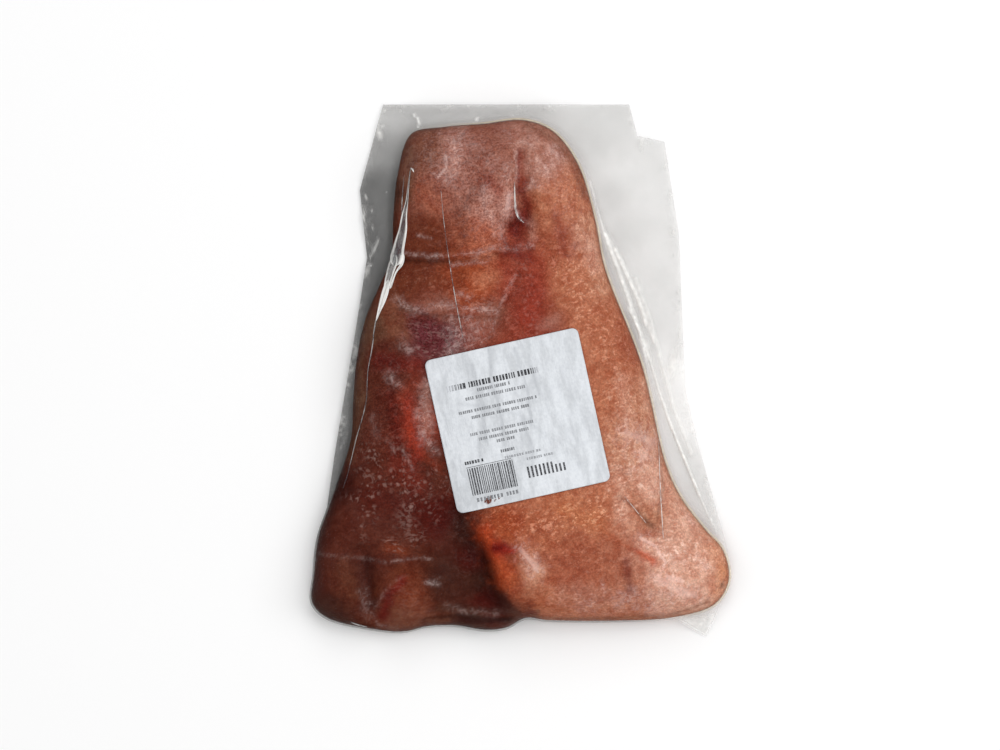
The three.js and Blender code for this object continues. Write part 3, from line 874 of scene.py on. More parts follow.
def skinFilmMaterial():
    material, tree, place = newMaterial("skinFilm")
    hazeAndSheen = attribute(tree, "hazeAndSheen", "Fac")
    streak = ramped(tree, noise(tree, place, 260, 5, 0.7, 3), 0.45, 0.7)
    # the film hides more where the meat has haze and painted sheen
    veil = math2(tree, "MULTIPLY", math2(tree, "MULTIPLY", hazeAndSheen, streak), 0.15)
    cover = math2(tree, "ADD", veil, ramped(tree, noise(tree, place, 60, 4), 0.4, 0.8, 0.002, 0.012))
    bump = addNode(tree, "Bump", {"Height": noise(tree, place, 380, 3), "Strength": 0.3, "Distance": 0.0005})
    clearFilm(tree, (0.62, 0.6, 0.6, 1), cover, bump.outputs[0], 0.22)
    return material


print("film on the meat")
skinMesh, _, skinIsTop = roundShell("filmSkin", shellCuts["film"], filmLift["skin"], 1)
skinX, skinY, _ = readPlaces(skinMesh).T / mm
# the same haze and painted sheen on the film
paintValue(skinMesh, "hazeAndSheen", strokesAt(skinX, skinY, skinIsTop, hazeAndSheenStrokes))
addPiece("filmSkin", skinMesh, skinFilmMaterial(), "vacuum_pack")

# The bag's flat border. Its outline runs anticlockwise from the top left corner.
filmShape = {
    "edge": [
        (-66.8, 128.4), (-78, 87), (-74.5, 54.5), (-80, 19.4), (-89.8, -38.6), (-94.5, -71.5), (-80, -105),
        (40, -108), (73, -119), (89.2, -128.4), (102, -98.2), (98, -81), (84.8, -33.7), (79.2, -9.7),
        (78.3, 9.2), (76, 65.7), (69, 110.5), (56, 113.3), (52, 128.4),
    ],
    "tuck": 1,  # least width
    "fall": 6,  # how quickly it drops from the meat's rim
    "wave": (1.6, 52, 14),  # height, length, and the distance over which it sets in
    "thickness": 0.25,
    "clearance": 0.1,  # above the table
    "segments": 720,
    "cells": 58,
    "bunching": 1.25,
    "overSkin": (1.3, 0.95, 0.65, 0.4, 0.18),  # millimetres inside the rim, where it lies on the film below
    "crinkle": (3.2, 0.3, 2.2),  # reach from the cut edge, height, size
    "glintRise": 0.4,  # height of a small bright spot
    "beside": 2.4,  # beside the meat it is clearest where it is lit, and darkest where it isn't
    "onSkin": 0.04,  # how much of itself it shows where it lies on the meat
}

# How light or dark the border looks, with painted shade, darkest on the left where the meat shades it and
# palest
# on the right where it is lit: grey levels, then level, middle and size of each part.
filmLevels = {"deepShade": 104, "dull": 116, "dim": 158, "mist": 190, "pale": 218, "clear": 230, "bright": 250}
filmPatches = {
    "topLeftCorner": ("mist", (-64, 124), 9),
    "topLeft": ("mist", (-45, 123), 12),
    "top": ("mist", (-12, 126), 16),
    "topRight": ("pale", (35, 118), 16),
    "rightTop": ("clear", (60, 95), 18),
    "rightMiddle": ("clear", (70, 40), 18),
    "rightLow": ("bright", (78, -10), 14),
    "rightEnd": ("clear", (92, -60), 14),
    "tail": ("bright", (84, -122), 12),
    "leftTop": ("dim", (-70, 106), 9),
    "leftHigh": ("dull", (-68, 85), 12),
    "left": ("deepShade", (-72, 50), 14),
    "leftLow": ("dull", (-82, 0), 14),
    "leftEnd": ("deepShade", (-92, -50), 14),
    "bottom": ("mist", (0, -123), 30),
    "besideSnout": ("pale", (44, 84), 7),
    "greyHollow": ("pale", (52, 66), 6),
}

# Drawn ridges in the border: route, half width, height, whiteness as a painted highlight
# (below 0, painted shade for a dark one).
filmRidges = {
    "besideRim": ([(32.9, 91.4), (40.4, 65), (48.2, 44.4), (56.6, 19.7), (64.1, -14.2)], 0.8, 0.6, 0.9),
    "second": ([(44.9, 58.6), (52.6, 42), (56.9, 32.9), (60, 22)], 0.7, 0.5, 0.8),
    "long": ([(51.8, 29.8), (57.8, 17), (62.3, 4.2), (70.7, -23.4), (80.1, -45.4), (86, -60)], 0.8, 0.7, 0.9),
    "outer": ([(55, 44), (62, 24), (68, 2), (74, -20), (82, -40)], 1.3, 0.5, 0.6),
    "lower": ([(69, -16), (75, -34), (84, -56), (92, -74)], 0.7, 0.5, 0.6),
    "fan": ([(38, 70), (45.5, 54.8), (52, 38), (58, 20), (62, 6)], 2.6, 0.2, 0.5),
    "fanOuter": ([(41, 66), (50, 50), (58, 30), (64, 14)], 0.8, 0.3, 0.4),
    "wedge": ([(36, 82), (42, 72), (50, 66), (54, 60)], 2.4, 0.0, -0.14),
    "greyLine": ([(45.4, 65.3), (53, 58.6), (60, 46)], 0.6, 0.3, -0.3),
    "greyBand": ([(36, 82), (44, 61), (52, 40), (60, 16)], 0.9, 0.0, -0.35),
    "corner": ([(-52.1, 123.6), (-49.6, 121), (-49.7, 117.4)], 0.6, 0.6, 0.8),
    "leftStroke": ([(-68.9, 63.1), (-71, 58), (-73.2, 54.5)], 0.6, 0.4, 0.5),
    "tailFold": ([(76, -119), (84, -123), (89, -126)], 0.8, 0.5, 0.6),
    "tailSide": ([(86, -118), (90, -122)], 0.7, 0.5, 0.6),
}

# Small bright spots in the border, painted glints: middle, half sizes, turn in degrees, whiteness.
filmGlints = {
    "cornerDot": ((-66, 125.5), (1, 0.7), 0, 0.8), "cornerLow": ((-67, 117.8), (1, 0.7), 20, 0.7),
    "leftPatch": ((-68.4, 114), (1.2, 2.6), 20, 0.9), "leftHigh": ((-74.2, 103.4), (0.8, 1.2), 10, 0.6),
    "leftEdge": ((-75.1, 83.8), (0.7, 1.4), 20, 0.6), "leftDot": ((-72.2, 77), (0.6, 0.6), 0, 0.5),
    "leftLow": ((-76.1, 72.7), (0.7, 1.2), -10, 0.6), "leftLine": ((-71.8, 68.9), (0.6, 1), 0, 0.5),
    "topDot": ((-21.5, 121.2), (1.6, 0.8), 60, 0.9), "topRight": ((-4.3, 123.2), (1, 0.7), 90, 0.7),
    "topStroke": ((58, 109), (0.5, 3), 0, 0.8), "sideDot": ((73.6, 66), (0.5, 1), 0, 0.7),
    "rightWide": ((73, 3), (2.4, 9), -14, 0.7), "rightSide": ((76.4, 18), (0.8, 4), 0, 0.5),
    "heelFleck": ((91.5, -72), (0.7, 2.2), 15, 0.9), "heelFleckLow": ((93.6, -75.6), (0.6, 1.6), 15, 0.9),
    "tailPatch": ((86.6, -122.4), (1.8, 1.4), 0, 0.8), "tailSheet": ((84, -121), (11, 5), -35, 0.5),
}

filmLight = {
    "light": 1.1,  # the light on the table against plain white
    "table": 0.95,  # the table's own grey
    "cover": (0.15, 0.6),  # how much the border hides, at least and at most
    "clearing": 0.55,  # how much less it hides where it is bright
    "besideDark": 0.25,  # darkening beside the meat, on its dark side
    "besideClear": 0.88,  # clearing beside the meat, on its lit side
    "whitest": 0.95,
    "whiteCover": 0.4,  # how much more is hidden by a white ridge or spot
    "edgeWhite": 0.45,  # whiteness of the crinkles near the cut edge
}
# A cream line just outside the meat, on its lit side only: partly fat held in the film, partly painted
# highlight.
creamRimAndHighlight = {"out": 0.5, "width": 0.6, "colour": (220, 200, 160), "strength": 0.65}
filmRoute = filmShape["edge"] + filmShape["edge"][:1]


def borderSheet(x, y, out):
    # height of the border's sheet above the table, some way outside the rim
    high, length, setIn = filmShape["wave"]
    turns = 2 * math.pi / length
    height = high * (0.5 + 0.5 * np.sin((x + y) * turns) * np.cos(y * turns)) * ease(out / setIn)
    for route, width, rise, _ in filmRidges.values():
        height = height + rise * bell(byRoute(x, y, route)[0] / width)
    for at, size, turn, white in filmGlints.values():
        height = height + filmShape["glintRise"] * white * nearness(x, y, at, size, turn)
    reach, rise, size = filmShape["crinkle"]
    nearEdge = bell(byRoute(x, y, filmRoute)[0] / reach)
    height = height + rise * nearEdge * (softNoise(x, y, size, 41) + softNoise(x, y, 2 * size, 43) + 1.2)
    fromRimUp = (meatShape["rimHeight"] + filmLift["border"]) * np.exp(-out / filmShape["fall"])
    return fromRimUp + height * ease(out / 2) + filmShape["clearance"] + filmShape["thickness"]


def filmRim(rim):
    # where a ray from the middle through each rim point leaves the film; corners take their nearest ray
    middle = np.array(meatShape["middle"])
    length = np.linalg.norm(rim - middle, axis=1)
    ray = (rim - middle) / length[:, None]
    reach = length + filmShape["tuck"]
    corners = np.array(filmShape["edge"], float)
    for a, b in zip(corners, np.roll(corners, -1, axis=0)):
        side = b - a
        start = a - middle
        cross = ray[:, 0] * side[1] - ray[:, 1] * side[0]
        along = (start[0] * side[1] - start[1] * side[0]) / cross
        share = (start[0] * ray[:, 1] - start[1] * ray[:, 0]) / cross
        reach = np.where((share >= 0) & (share <= 1) & (along > reach), along, reach)
    edge = middle + ray * reach[:, None]
    for corner in corners:
        nearest = np.argmin(np.linalg.norm(edge - corner, axis=1))
        if np.linalg.norm(corner - middle) > length[nearest] + filmShape["tuck"]:
            edge[nearest] = corner
    return edge


def borderMesh():
    # a grid bent round the pack, with its two ends joined
    shape = filmShape
    rim = smoothRun(meatShape["edge"], True, shape["segments"])
    edge = filmRim(rim)
    inward = np.array(meatShape["middle"]) - rim
    inward /= np.linalg.norm(inward, axis=1)[:, None]
    spread = np.linspace(0, 1, shape["cells"] + 1) ** shape["bunching"]
    overSkin = np.concatenate([shape["overSkin"], np.zeros(len(spread))])
    outward = np.concatenate([np.zeros(len(shape["overSkin"])), spread])
    stations = len(outward)
    bm = bmesh.new()
    bmesh.ops.create_grid(bm, x_segments=shape["segments"], y_segments=stations - 1, size=1)
    mesh = meshFrom(bm, "filmBorder")
    square = readPlaces(mesh)
    i = np.rint((square[:, 0] + 1) / 2 * shape["segments"]).astype(int) % shape["segments"]
    j = np.rint((1 - square[:, 1]) / 2 * (stations - 1)).astype(int)
    x, y = (rim[i] + (edge - rim)[i] * outward[j][:, None] + inward[i] * overSkin[j][:, None]).T
    inside = fromRim(x, y)
    inside = np.where(outward[j] > 0, np.minimum(0, inside), np.maximum(0, inside))
    onSkin = skinTop(x, y, inside, 1) + filmLift["border"]
    offSkin = borderSheet(x, y, np.maximum(0, -inside))
    z = np.where(outward[j] > 0, offSkin, np.maximum(onSkin, offSkin * (inside <= 0)))
    writePlaces(mesh, np.stack([x, y, z], axis=1) * mm)
    return welded(mesh)


def paintBorder(mesh):
    x, y, _ = readPlaces(mesh).T / mm
    level = np.zeros(len(x))
    weight = np.full(len(x), 1e-9)
    # painted shade, darkest on the left of the pack
    for name, at, size in filmPatches.values():
        w = patchWeight(x, y, at, size, 0.3, 2)
        level += w * linear(filmLevels[name])
        weight += w
    level = level / weight / filmLight["light"]
    level *= 1 + 0.03 * softNoise(x, y, 11, 51) + 0.02 * softNoise(x, y, 4, 53)
    outside = -fromRim(x, y)
    right = (x - meatShape["middle"][0]) / 100
    up = (y - meatShape["middle"][1]) / 100
    lit = ease(0.2 + 1.6 * right + 0.5 * np.maximum(0, up) - 1.2 * np.maximum(0, -up))
    beside = bell(outside / filmShape["beside"])
    # painted shade beside the meat, on its unlit side
    level *= 1 - filmLight["besideDark"] * beside * (1 - lit)
    # light passes both sides of the sheet, and the table throws it to and fro below it
    least, most = filmLight["cover"]
    cover = np.clip(most - filmLight["clearing"] * level, least, most)
    through = (1 - cover) ** 2
    table = filmLight["table"]
    spread = 1 + table * level
    missing = np.maximum(0, level - table * through**2)
    thrown = (spread - np.sqrt(spread**2 - 4 * table * missing)) / (2 * table)
    whitest = filmLight["whitest"]
    own = np.clip(thrown / (cover + cover * through), 0.03, whitest)
    white = np.zeros(len(x))
    # painted highlights along the ridges, painted shade along the dark ones
    for route, width, _, whiteness in filmRidges.values():
        white += whiteness * bell(byRoute(x, y, route)[0] / width)
    # painted glints
    for at, size, turn, whiteness in filmGlints.values():
        white = np.maximum(white, whiteness * nearness(x, y, at, size, turn))
    # painted highlights on the crinkles near the cut edge
    nearEdge = bell(byRoute(x, y, filmRoute)[0] / filmShape["crinkle"][0])
    crinkled = np.clip(softNoise(x, y, 1.5, 57) + softNoise(x, y, 6, 59) - 0.2, 0, 1)
    white += filmLight["edgeWhite"] * nearEdge * crinkled
    own = np.where(white > 0, own + (whitest - own) * np.clip(white, 0, 1), own * (1 + white))
    cover = np.clip(cover + filmLight["whiteCover"] * np.abs(white), 0, 0.97)
    cover *= np.where(outside < 0, filmShape["onSkin"], 1 - filmLight["besideClear"] * beside * lit)
    colour = np.repeat(own[:, None], 3, axis=1) * (1.0, 0.99, 0.965)
    # the cream line with its painted highlight, on the lit side only
    creamAndHighlight = creamRimAndHighlight["strength"] * lit * bell((outside - creamRimAndHighlight["out"]) / creamRimAndHighlight["width"])
    colour += (linear(creamRimAndHighlight["colour"]) - colour) * creamAndHighlight[:, None]
    paintColour(mesh, "paint", colour)
    paintValue(mesh, "cover", np.maximum(cover, creamAndHighlight))


def borderMaterial():
    material, tree, place = newMaterial("borderFilm")
    cover = attribute(tree, "cover", "Fac")
    cloud = ramped(tree, noise(tree, place, 420, 5, 0.7), 0.3, 0.7)
    clouded = blended(tree, cover, grey(1), blended(tree, cloud, grey(0.7), grey(1.3)))
    colour = blended(tree, 1.0, attribute(tree, "paint", "Color"), clouded, "MULTIPLY")
    # small painted glints where the film is dull
    glints = specks(tree, place, 260, 0.1, 0.24, 0.6)
    glints = math2(tree, "MULTIPLY", glints, ramped(tree, cover, 0.3, 0.6, 0.0, 0.7))
    colour = blended(tree, glints, colour, grey(0.8))
    creases = noise(tree, place, 300, 4, 0.6, 2)
    bump = addNode(tree, "Bump", {"Height": creases, "Strength": 0.35, "Distance": 0.0006})
    clearFilm(tree, colour, cover, bump.outputs[0], 0.25)
    return material


print("border")
border = borderMesh()
paintBorder(border)
addPiece("filmBorder", border, borderMaterial(), "vacuum_pack", filmShape["thickness"])

# Pleats of film that stand up from the rest: points with a half width, rise, whiteness of middle and edges,
# partly film folded on itself and partly painted highlight.
pleats = {
    "ribbon": ([
        (-53.2, 97.1, 0.15), (-54.3, 88, 0.35), (-55, 81, 0.6), (-56.3, 74, 1.4), (-57, 67.4, 2.1),
        (-58.8, 60, 2.8), (-60.2, 54, 3.2), (-61, 50, 2),
    ], 0.9, 0.18, 0.95),
    "hook": ([(-53.3, 97.2, 0.3), (-52.3, 96.4, 0.35), (-51.6, 94.9, 0.2)], 0.4, 0.7, 0.8),
    "secondLine": ([(-56.4, 94, 0.1), (-57, 86, 0.2), (-57.4, 79, 0.2), (-57.2, 73, 0.4)], 0.3, 0.26, 0.32),
    "leftBranch": ([
        (-60.6, 56, 1.4), (-62, 51, 2.1), (-63.1, 47.3, 1.9), (-64.4, 42, 1.6), (-65.4, 38, 0.9),
    ], 0.8, 0.2, 0.95),
    "leftBright": ([
        (-63.8, 44, 0.7), (-65.1, 39, 1.6), (-66.6, 33.8, 1.5), (-68.4, 28.4, 0.8), (-69.8, 23.6, 0.3),
    ], 0.8, 0.75, 0.95),
    "slit": ([
        (-3.4, 91, 0.1), (-3.3, 85, 0.3), (-2.9, 78.4, 0.5), (-1.6, 73.6, 0.4), (1.4, 70.6, 0.1),
    ], 0.2, 0.3, 0.42),
    "leftLine": ([
        (-68.2, 29, 0.4), (-70.2, 22, 0.34), (-71.8, 10.2, 0.22), (-73.8, -1, 0.2), (-74.6, -15, 0.2),
        (-79.6, -33.4, 0.18), (-83.6, -50, 0.16), (-86, -57, 0.1),
    ], 0.2, 0.2, 0.24),
    "bottomFlash": ([(-83, -120.6, 0.12), (-78.6, -122.4, 0.26), (-74, -123.6, 0.15)], 0.12, 0.3, 0.35),
    "rightBranch": ([
        (-56.4, 56, 0.6), (-57.6, 51, 0.75), (-60.2, 47.3, 0.45), (-61.8, 43, 0.45), (-63.2, 39, 0.7),
    ], 0.6, 0.85, 0.95),
    "overSnout": ([
        (-38.6, 86.6, 0.08), (-37, 69.8, 0.12), (-34.4, 51.1, 0.17), (-31.3, 32.4, 0.19), (-27.9, 15.1, 0.16),
    ], 0.12, 0.22, 0.27),
    "overHeel": ([(66, -34, 0.1), (66.6, -56, 0.18), (67.2, -68, 0.18), (68, -81, 0.1)], 0.12, 0.35, 0.4),
    "toDimple": ([(49, -60, 0.1), (54, -66, 0.12), (60, -73.5, 0.1)], 0.1, 0.3, 0.32),
}

pleatCut = {
    "sides": 24,  # corners round a pleat
    "perLength": 0.9,  # millimetres a ring
    "bottom": 0.12,  # depth below the film
    "edge": (0.86, 0.18),  # where its raised edge lies from the middle out, and how wide that is
}


def filmTop(x, y):
    # height of the film's outer side, on the meat or beside it
    inside = fromRim(x, y)
    onMeat = skinTop(x, y, np.maximum(0, inside), 1) + filmLift["skin"]
    return np.where(inside > 0, onMeat, borderSheet(x, y, np.maximum(0, -inside)))


def pleatMesh():
    # each pleat is a sphere drawn out along its route
    bm = bmesh.new()
    whitened = bm.verts.layers.float.new("white")
    edgeAt, edgeWidth = pleatCut["edge"]
    for stations, rise, middleWhite, edgeWhite in pleats.values():
        length = sum(math.dist(a[:2], b[:2]) for a, b in zip(stations, stations[1:]))
        rings = max(8, round(length / pleatCut["perLength"]))
        made = bmesh.ops.create_uvsphere(bm, u_segments=pleatCut["sides"], v_segments=rings, radius=1)
        ball = np.array([v.co for v in made["verts"]])
        step = np.arccos(np.clip(ball[:, 2], -1, 1)) / math.pi
        line = smoothRun(stations, False, 4 * rings)
        way = np.linspace(0, 1, len(line))
        ahead = np.gradient(line[:, :2], axis=0)
        ahead /= np.linalg.norm(ahead, axis=1)[:, None]
        cx, cy, half, tx, ty = (np.interp(step, way, c) for c in (*line.T, *ahead.T))
        turn = np.arctan2(ball[:, 1], ball[:, 0])
        ends = np.sqrt(np.clip(step * (1 - step) * rings / 2, 0, 1))
        across = np.cos(turn) * (np.hypot(ball[:, 0], ball[:, 1]) > 1e-4)
        x = cx - ty * across * half * ends
        y = cy + tx * across * half * ends
        edgeShare = bell((np.abs(across) - edgeAt) / edgeWidth)
        crown = np.sqrt(np.sqrt(np.clip(1 - across**2, 0, 1))) * (0.5 + 0.5 * edgeShare)
        lift = np.where(np.sin(turn) > -1e-6, rise * crown * ends, -pleatCut["bottom"])
        places = zip(x, y, filmTop(x, y) + lift)
        whites = middleWhite + (edgeWhite - middleWhite) * edgeShare
        for vert, place, light in zip(made["verts"], places, whites):
            vert.co = Vector(place) * mm
            vert[whitened] = light
    bmesh.ops.recalc_face_normals(bm, faces=bm.faces)
    return meshFrom(bm, "filmPleats")


def pleatMaterial():
    material, tree, place = newMaterial("pleatFilm")
    # whiteness: partly folded film and partly painted highlight
    light = attribute(tree, "white", "Fac")
    streak = ramped(tree, noise(tree, place, 800, 2, 0.5, 16, -13), 0.36, 0.62, 0.5, 1.15)
    shine = math2(tree, "MULTIPLY", light, streak)
    colour = blended(tree, ramped(tree, shine, 0.1, 0.32), (0.13, 0.14, 0.16, 1), (0.95, 0.93, 0.9, 1))
    cover = ramped(tree, shine, 0.0, 0.8, 0.22, 0.97)
    bump = addNode(tree, "Bump", {"Height": streak, "Strength": 0.3, "Distance": 0.0004})
    clearFilm(tree, colour, cover, bump.outputs[0], 0.2)
    return material


print("pleats")
addPiece("filmPleats", pleatMesh(), pleatMaterial(), "vacuum_pack")

# The sticker's paper. Creases run up it, given by route on the sticker, half width and depth.
paperCreases = {
    "middle": ([(-6, 36), (-8, 22), (-7, 4), (-9, -10)], 0.9, 0.3),
    "left": ([(-16, 30), (-15, 12), (-17, -6)], 1.1, 0.25),
    "right": ([(6, 34), (8, 14), (6, -2)], 0.8, 0.28),
    "rightShort": ([(12, 24), (13, 10)], 0.8, 0.25),
    "slanted": ([(-26, 14), (-14, 10), (2, 2), (10, -8)], 0.9, 0.2),
    "low": ([(2, 0), (4, -14), (2, -24)], 0.9, 0.22),
    "lowLeft": ([(-20, -4), (-22, -16)], 1, 0.2),
}
paperRelief = [(1.6, 9, 0.07, 31), (3.4, 16, 0.12, 33), (12, 14, 0.15, 35)]  # width, length, height, seed
tear = {"at": (-22, -34.3), "size": (1.9, 1.6), "marks": [(-18.6, -34.8), (-16.4, -34.2), (-20, -32.4)]}


def paperTop(u, v):
    x, y = fromSticker(u, v)
    relief = sum(high * softNoise(u, v * wide / tall, wide, seed) for wide, tall, high, seed in paperRelief)
    dents = valleys(u, v, paperCreases)
    height = smoothTop(x, y, np.maximum(0, fromRim(x, y))) + sticker["lift"] + sticker["thickness"]
    return x, y, height + np.maximum(0, relief + 0.2 - dents)


def paperMesh():
    half = sticker["side"] / 2
    bm = bmesh.new()
    bmesh.ops.create_grid(bm, x_segments=sticker["cells"], y_segments=sticker["cells"], size=half)
    mesh = meshFrom(bm, "labelPaper")
    u, v, _ = readPlaces(mesh).T
    straight = half - sticker["corner"]
    pastU = np.maximum(0, np.abs(u) - straight)
    pastV = np.maximum(0, np.abs(v) - straight)
    pull = np.maximum(pastU, pastV) / np.maximum(1e-9, np.hypot(pastU, pastV))
    inCorner = (pastU > 0) & (pastV > 0)
    u = np.where(inCorner, np.sign(u) * (straight + pastU * pull), u)
    v = np.where(inCorner, np.sign(v) * (straight + pastV * pull), v)
    writePlaces(mesh, np.stack(paperTop(u, v), axis=1) * mm)
    stain = nearness(u, v, tear["at"], tear["size"], 20)
    for at in tear["marks"]:
        stain = np.maximum(stain, 0.8 * nearness(u, v, at, (0.9, 0.5), 30))
    paintValue(mesh, "stain", stain)
    # crease depth, for the painted shade in the creases
    paintValue(mesh, "creaseShade", np.clip(valleys(u, v, paperCreases) / 0.3, 0, 1))
    return mesh


def paperMaterial():
    material, tree, place = newMaterial("labelPaper")
    fibre = ramped(tree, noise(tree, place, 700, 4), 0.3, 0.7)
    pressed = noise(tree, place, 150, 5, 0.7, 3.5, 12.5)
    colour = blended(tree, fibre, (0.64, 0.665, 0.7, 1), (0.7, 0.725, 0.755, 1))
    # painted shading: lighter on the raised wrinkles, darker in the pressed ones, following the bump
    wrinkleShading = blended(tree, ramped(tree, pressed, 0.36, 0.62), grey(0.86), grey(1.08))
    colour = blended(tree, 1.0, colour, wrinkleShading, "MULTIPLY")
    # painted shade in the creases
    creaseShadeShare = math2(tree, "MULTIPLY", attribute(tree, "creaseShade", "Fac"), 0.45)
    colour = blended(tree, creaseShadeShare, colour, (0.42, 0.44, 0.47, 1))
    ragged = ramped(tree, noise(tree, place, 900), 0.3, 0.5)
    torn = math2(tree, "MULTIPLY", attribute(tree, "stain", "Fac"), ragged)
    colour = blended(tree, ramped(tree, torn, 0.25, 0.5), colour, (0.14, 0.04, 0.025, 1))
    bump = addNode(tree, "Bump", {"Height": pressed, "Strength": 0.6, "Distance": 0.0012})
    shader = addNode(tree, "BsdfPrincipled", {
        "Base Color": colour, "Roughness": 0.6, "Specular IOR Level": 0.2, "Normal": bump.outputs[0],
    })
    finishMaterial(tree, shader.outputs[0])
    return material


print("sticker")
addPiece("labelPaper", paperMesh(), paperMaterial(), "label", sticker["thickness"])

# The sticker's print, as plain blocks: start, end, height on the sticker, tallness, block widths, gap, ink.
printRows = {
    "headline": (-29.7, 14.9, 21.8, 2.7, (0.5, 1.3), 0.55, 1.0),
    "underHeadline": (-15.6, 0.7, 18.5, 1.5, (0.4, 0.9), 0.35, 0.7),
    "third": (-22, 7.4, 15.3, 1.5, (0.4, 0.9), 0.35, 0.65),
    "fourth": (-26.6, 11.8, 9.3, 1.4, (0.4, 0.9), 0.35, 0.65),
    "fifth": (-21, 7.5, 6.1, 1.4, (0.4, 0.9), 0.35, 0.7),
    "sixth": (-23.4, 8.1, -1.8, 1.4, (0.4, 0.9), 0.35, 0.6),
    "seventh": (-19.8, 4.6, -4.7, 1.4, (0.4, 0.9), 0.35, 0.65),
    "eighth": (-11.7, -3.1, -7.3, 1.4, (0.4, 0.9), 0.35, 0.7),
    "ninth": (-10.9, -3, -12.5, 1.4, (0.4, 0.9), 0.35, 0.8),
    "tenth": (-9.7, 7.8, -15.9, 1.1, (0.5, 1.1), 0.35, 0.45),
    "eleventh": (0.5, 13.6, -18.8, 1.1, (0.5, 1.1), 0.35, 0.45),
    "smallBold": (-29, -20, -14.7, 1.5, (0.7, 1.2), 0.35, 0.95),
    "underBars": (-27, -7, -33, 1.8, (0.8, 1.1), 0.7, 0.7),
    "bars": (-28.6, -6.2, -24, 13, (0.25, 0.85), 0.4, 0.9),
    "barsTop": (-28.9, -6, -16.9, 0.3, (22, 22.9), 0.4, 0.8),
}
# Big upright bars, of which the last are lower.
printBars = {
    "start": -0.5, "end": 18.7, "foot": -27.9, "tall": 5.4, "count": 10, "width": 0.9, "ink": 0.95,
    "tallCount": 7, "lowShare": 0.7,
}
printCut = {
    "cell": 0.55, "lift": 0.05, "thickness": 0.04,
    "fadeReach": 9, "fadeEnd": 6,  # the headline fades in and out over these distances
    "wordEvery": (4, 9), "wordGap": 0.4,  # blocks between wider gaps, and how much wider
    "solidTall": 4,  # rows as tall as this have no wider gaps
}


def inkBlock(bm, layer, left, right, low, high, ink):
    cells = [max(1, round(size / printCut["cell"])) for size in (right - left, high - low)]
    place = Matrix.Translation(((left + right) / 2, (low + high) / 2, 0))
    place = place @ Matrix.Diagonal(((right - left) / 2, (high - low) / 2, 1, 1))
    made = bmesh.ops.create_grid(bm, x_segments=cells[0], y_segments=cells[1], size=1, matrix=place)["verts"]
    for vert in made:
        vert[layer] = ink


def inkRow(bm, layer, row, draw):
    start, end, height, tall, (narrow, wide), gap, ink = row
    at = start
    untilGap = draw.integers(*printCut["wordEvery"])
    while at < end - narrow / 2:
        width = min(draw.uniform(narrow, wide), end - at)
        strength = ink
        if row is printRows["headline"]:
            fadeIn = ease((at - start) / printCut["fadeReach"] + 0.1)
            fadeOut = ease((end - at) / printCut["fadeEnd"] + 0.2)
            strength *= float(fadeIn * fadeOut)
        inkBlock(bm, layer, at, at + width, height - tall / 2, height + tall / 2, strength)
        at += width + gap * draw.uniform(0.7, 1.3)
        untilGap -= 1
        if untilGap == 0 and tall < printCut["solidTall"]:
            at += gap + printCut["wordGap"]
            untilGap = draw.integers(*printCut["wordEvery"])


def printMesh():
    draw = np.random.default_rng(17)
    bm = bmesh.new()
    layer = bm.verts.layers.float.new("ink")
    for row in printRows.values():
        inkRow(bm, layer, row, draw)
    pitch = (printBars["end"] - printBars["start"]) / printBars["count"]
    for k in range(printBars["count"]):
        left = printBars["start"] + k * pitch
        share = 1 if k < printBars["tallCount"] else printBars["lowShare"]
        high = printBars["foot"] + printBars["tall"] * share
        inkBlock(bm, layer, left, left + printBars["width"], printBars["foot"], high, printBars["ink"])
    mesh = meshFrom(bm, "labelPrint")
    u, v, _ = readPlaces(mesh).T
    x, y, z = paperTop(u, v)
    writePlaces(mesh, np.stack([x, y, z + printCut["lift"]], axis=1) * mm)
    return mesh


def printMaterial():
    material, tree, place = newMaterial("labelPrint")
    worn = ramped(tree, noise(tree, place, 1500, 3), 0.3, 0.7, 0.75, 1.15)
    ink = math2(tree, "MULTIPLY", attribute(tree, "ink", "Fac"), worn)
    colour = blended(tree, ink, (0.68, 0.7, 0.74, 1), (0.022, 0.022, 0.026, 1))
    look = {"Base Color": colour, "Roughness": 0.6, "Specular IOR Level": 0.2}
    finishMaterial(tree, addNode(tree, "BsdfPrincipled", look).outputs[0])
    return material


print("print")
addPiece("labelPrint", printMesh(), printMaterial(), "label", printCut["thickness"])

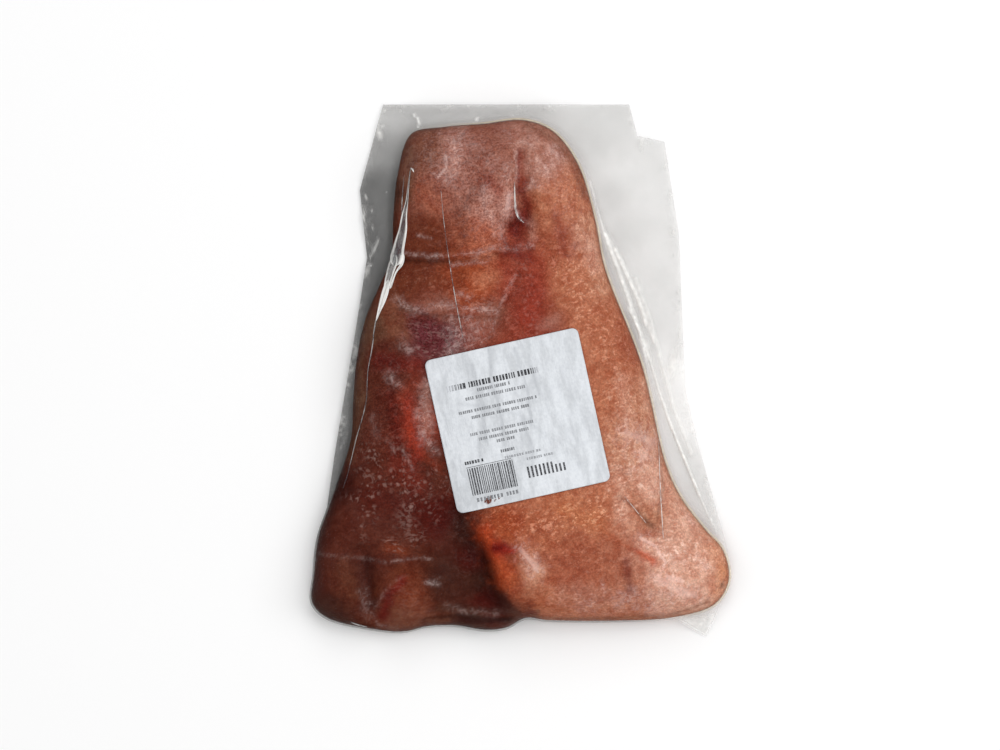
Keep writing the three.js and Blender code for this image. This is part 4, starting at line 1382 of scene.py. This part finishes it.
# The floor, the lights and the camera.
studio = {
    "photoMiddle": (-10.32, -2.16),  # the point of the table under the photo's middle
    "photoWidth": 480,  # across the photo, at the pack
    "packLevel": 16,
    "cameraHeight": 2500,
    "sensor": 36,
    "surround": 0.26,
    "panel": 1.2,  # side of each light, in metres
    "lights": {"right": ((1.2, 0.2, 1.2), 13), "top": ((0.1, 1.15, 1.25), 10),
               "left": ((-1.1, 0, 1.3), 6), "bottom": ((0, -1.1, 1.3), 8)},
}


def floor():
    bm = bmesh.new()
    bmesh.ops.create_grid(bm, x_segments=8, y_segments=8, size=4)
    mesh = meshFrom(bm, "floor")
    piece = bpy.data.objects.new("floor", mesh)
    bpy.context.scene.collection.objects.link(piece)
    material, tree, _ = newMaterial("paleFloor")
    look = {"Base Color": grey(0.95), "Roughness": 0.9, "Specular IOR Level": 0.1}
    finishMaterial(tree, addNode(tree, "BsdfPrincipled", look).outputs[0])
    mesh.materials.append(material)


def softLight(name, place, power):
    light = bpy.data.lights.new(name, "AREA")
    light.size = studio["panel"]
    light.energy = power
    lamp = bpy.data.objects.new(name, light)
    lamp.location = place
    lamp.rotation_euler = Vector(place).to_track_quat("Z", "Y").to_euler()
    bpy.context.scene.collection.objects.link(lamp)


def surroundings():
    world = bpy.data.worlds.new("studio")
    bpy.context.scene.world = world
    world.use_nodes = True
    world.node_tree.nodes["Background"].inputs[0].default_value = (1, 1, 1, 1)
    world.node_tree.nodes["Background"].inputs[1].default_value = studio["surround"]
    for name, (place, power) in studio["lights"].items():
        softLight(name, place, power)


def camera():
    data = bpy.data.cameras.new("camera")
    data.sensor_width = studio["sensor"]
    data.lens = studio["sensor"] * (studio["cameraHeight"] - studio["packLevel"]) / studio["photoWidth"]
    data.clip_end = 20
    lens = bpy.data.objects.new("camera", data)
    x, y = studio["photoMiddle"]
    lens.location = (x * mm, y * mm, studio["cameraHeight"] * mm)
    bpy.context.scene.collection.objects.link(lens)
    bpy.context.scene.camera = lens


print("studio")
floor()
surroundings()
camera()
bpy.context.scene.view_settings.view_transform = "Standard"
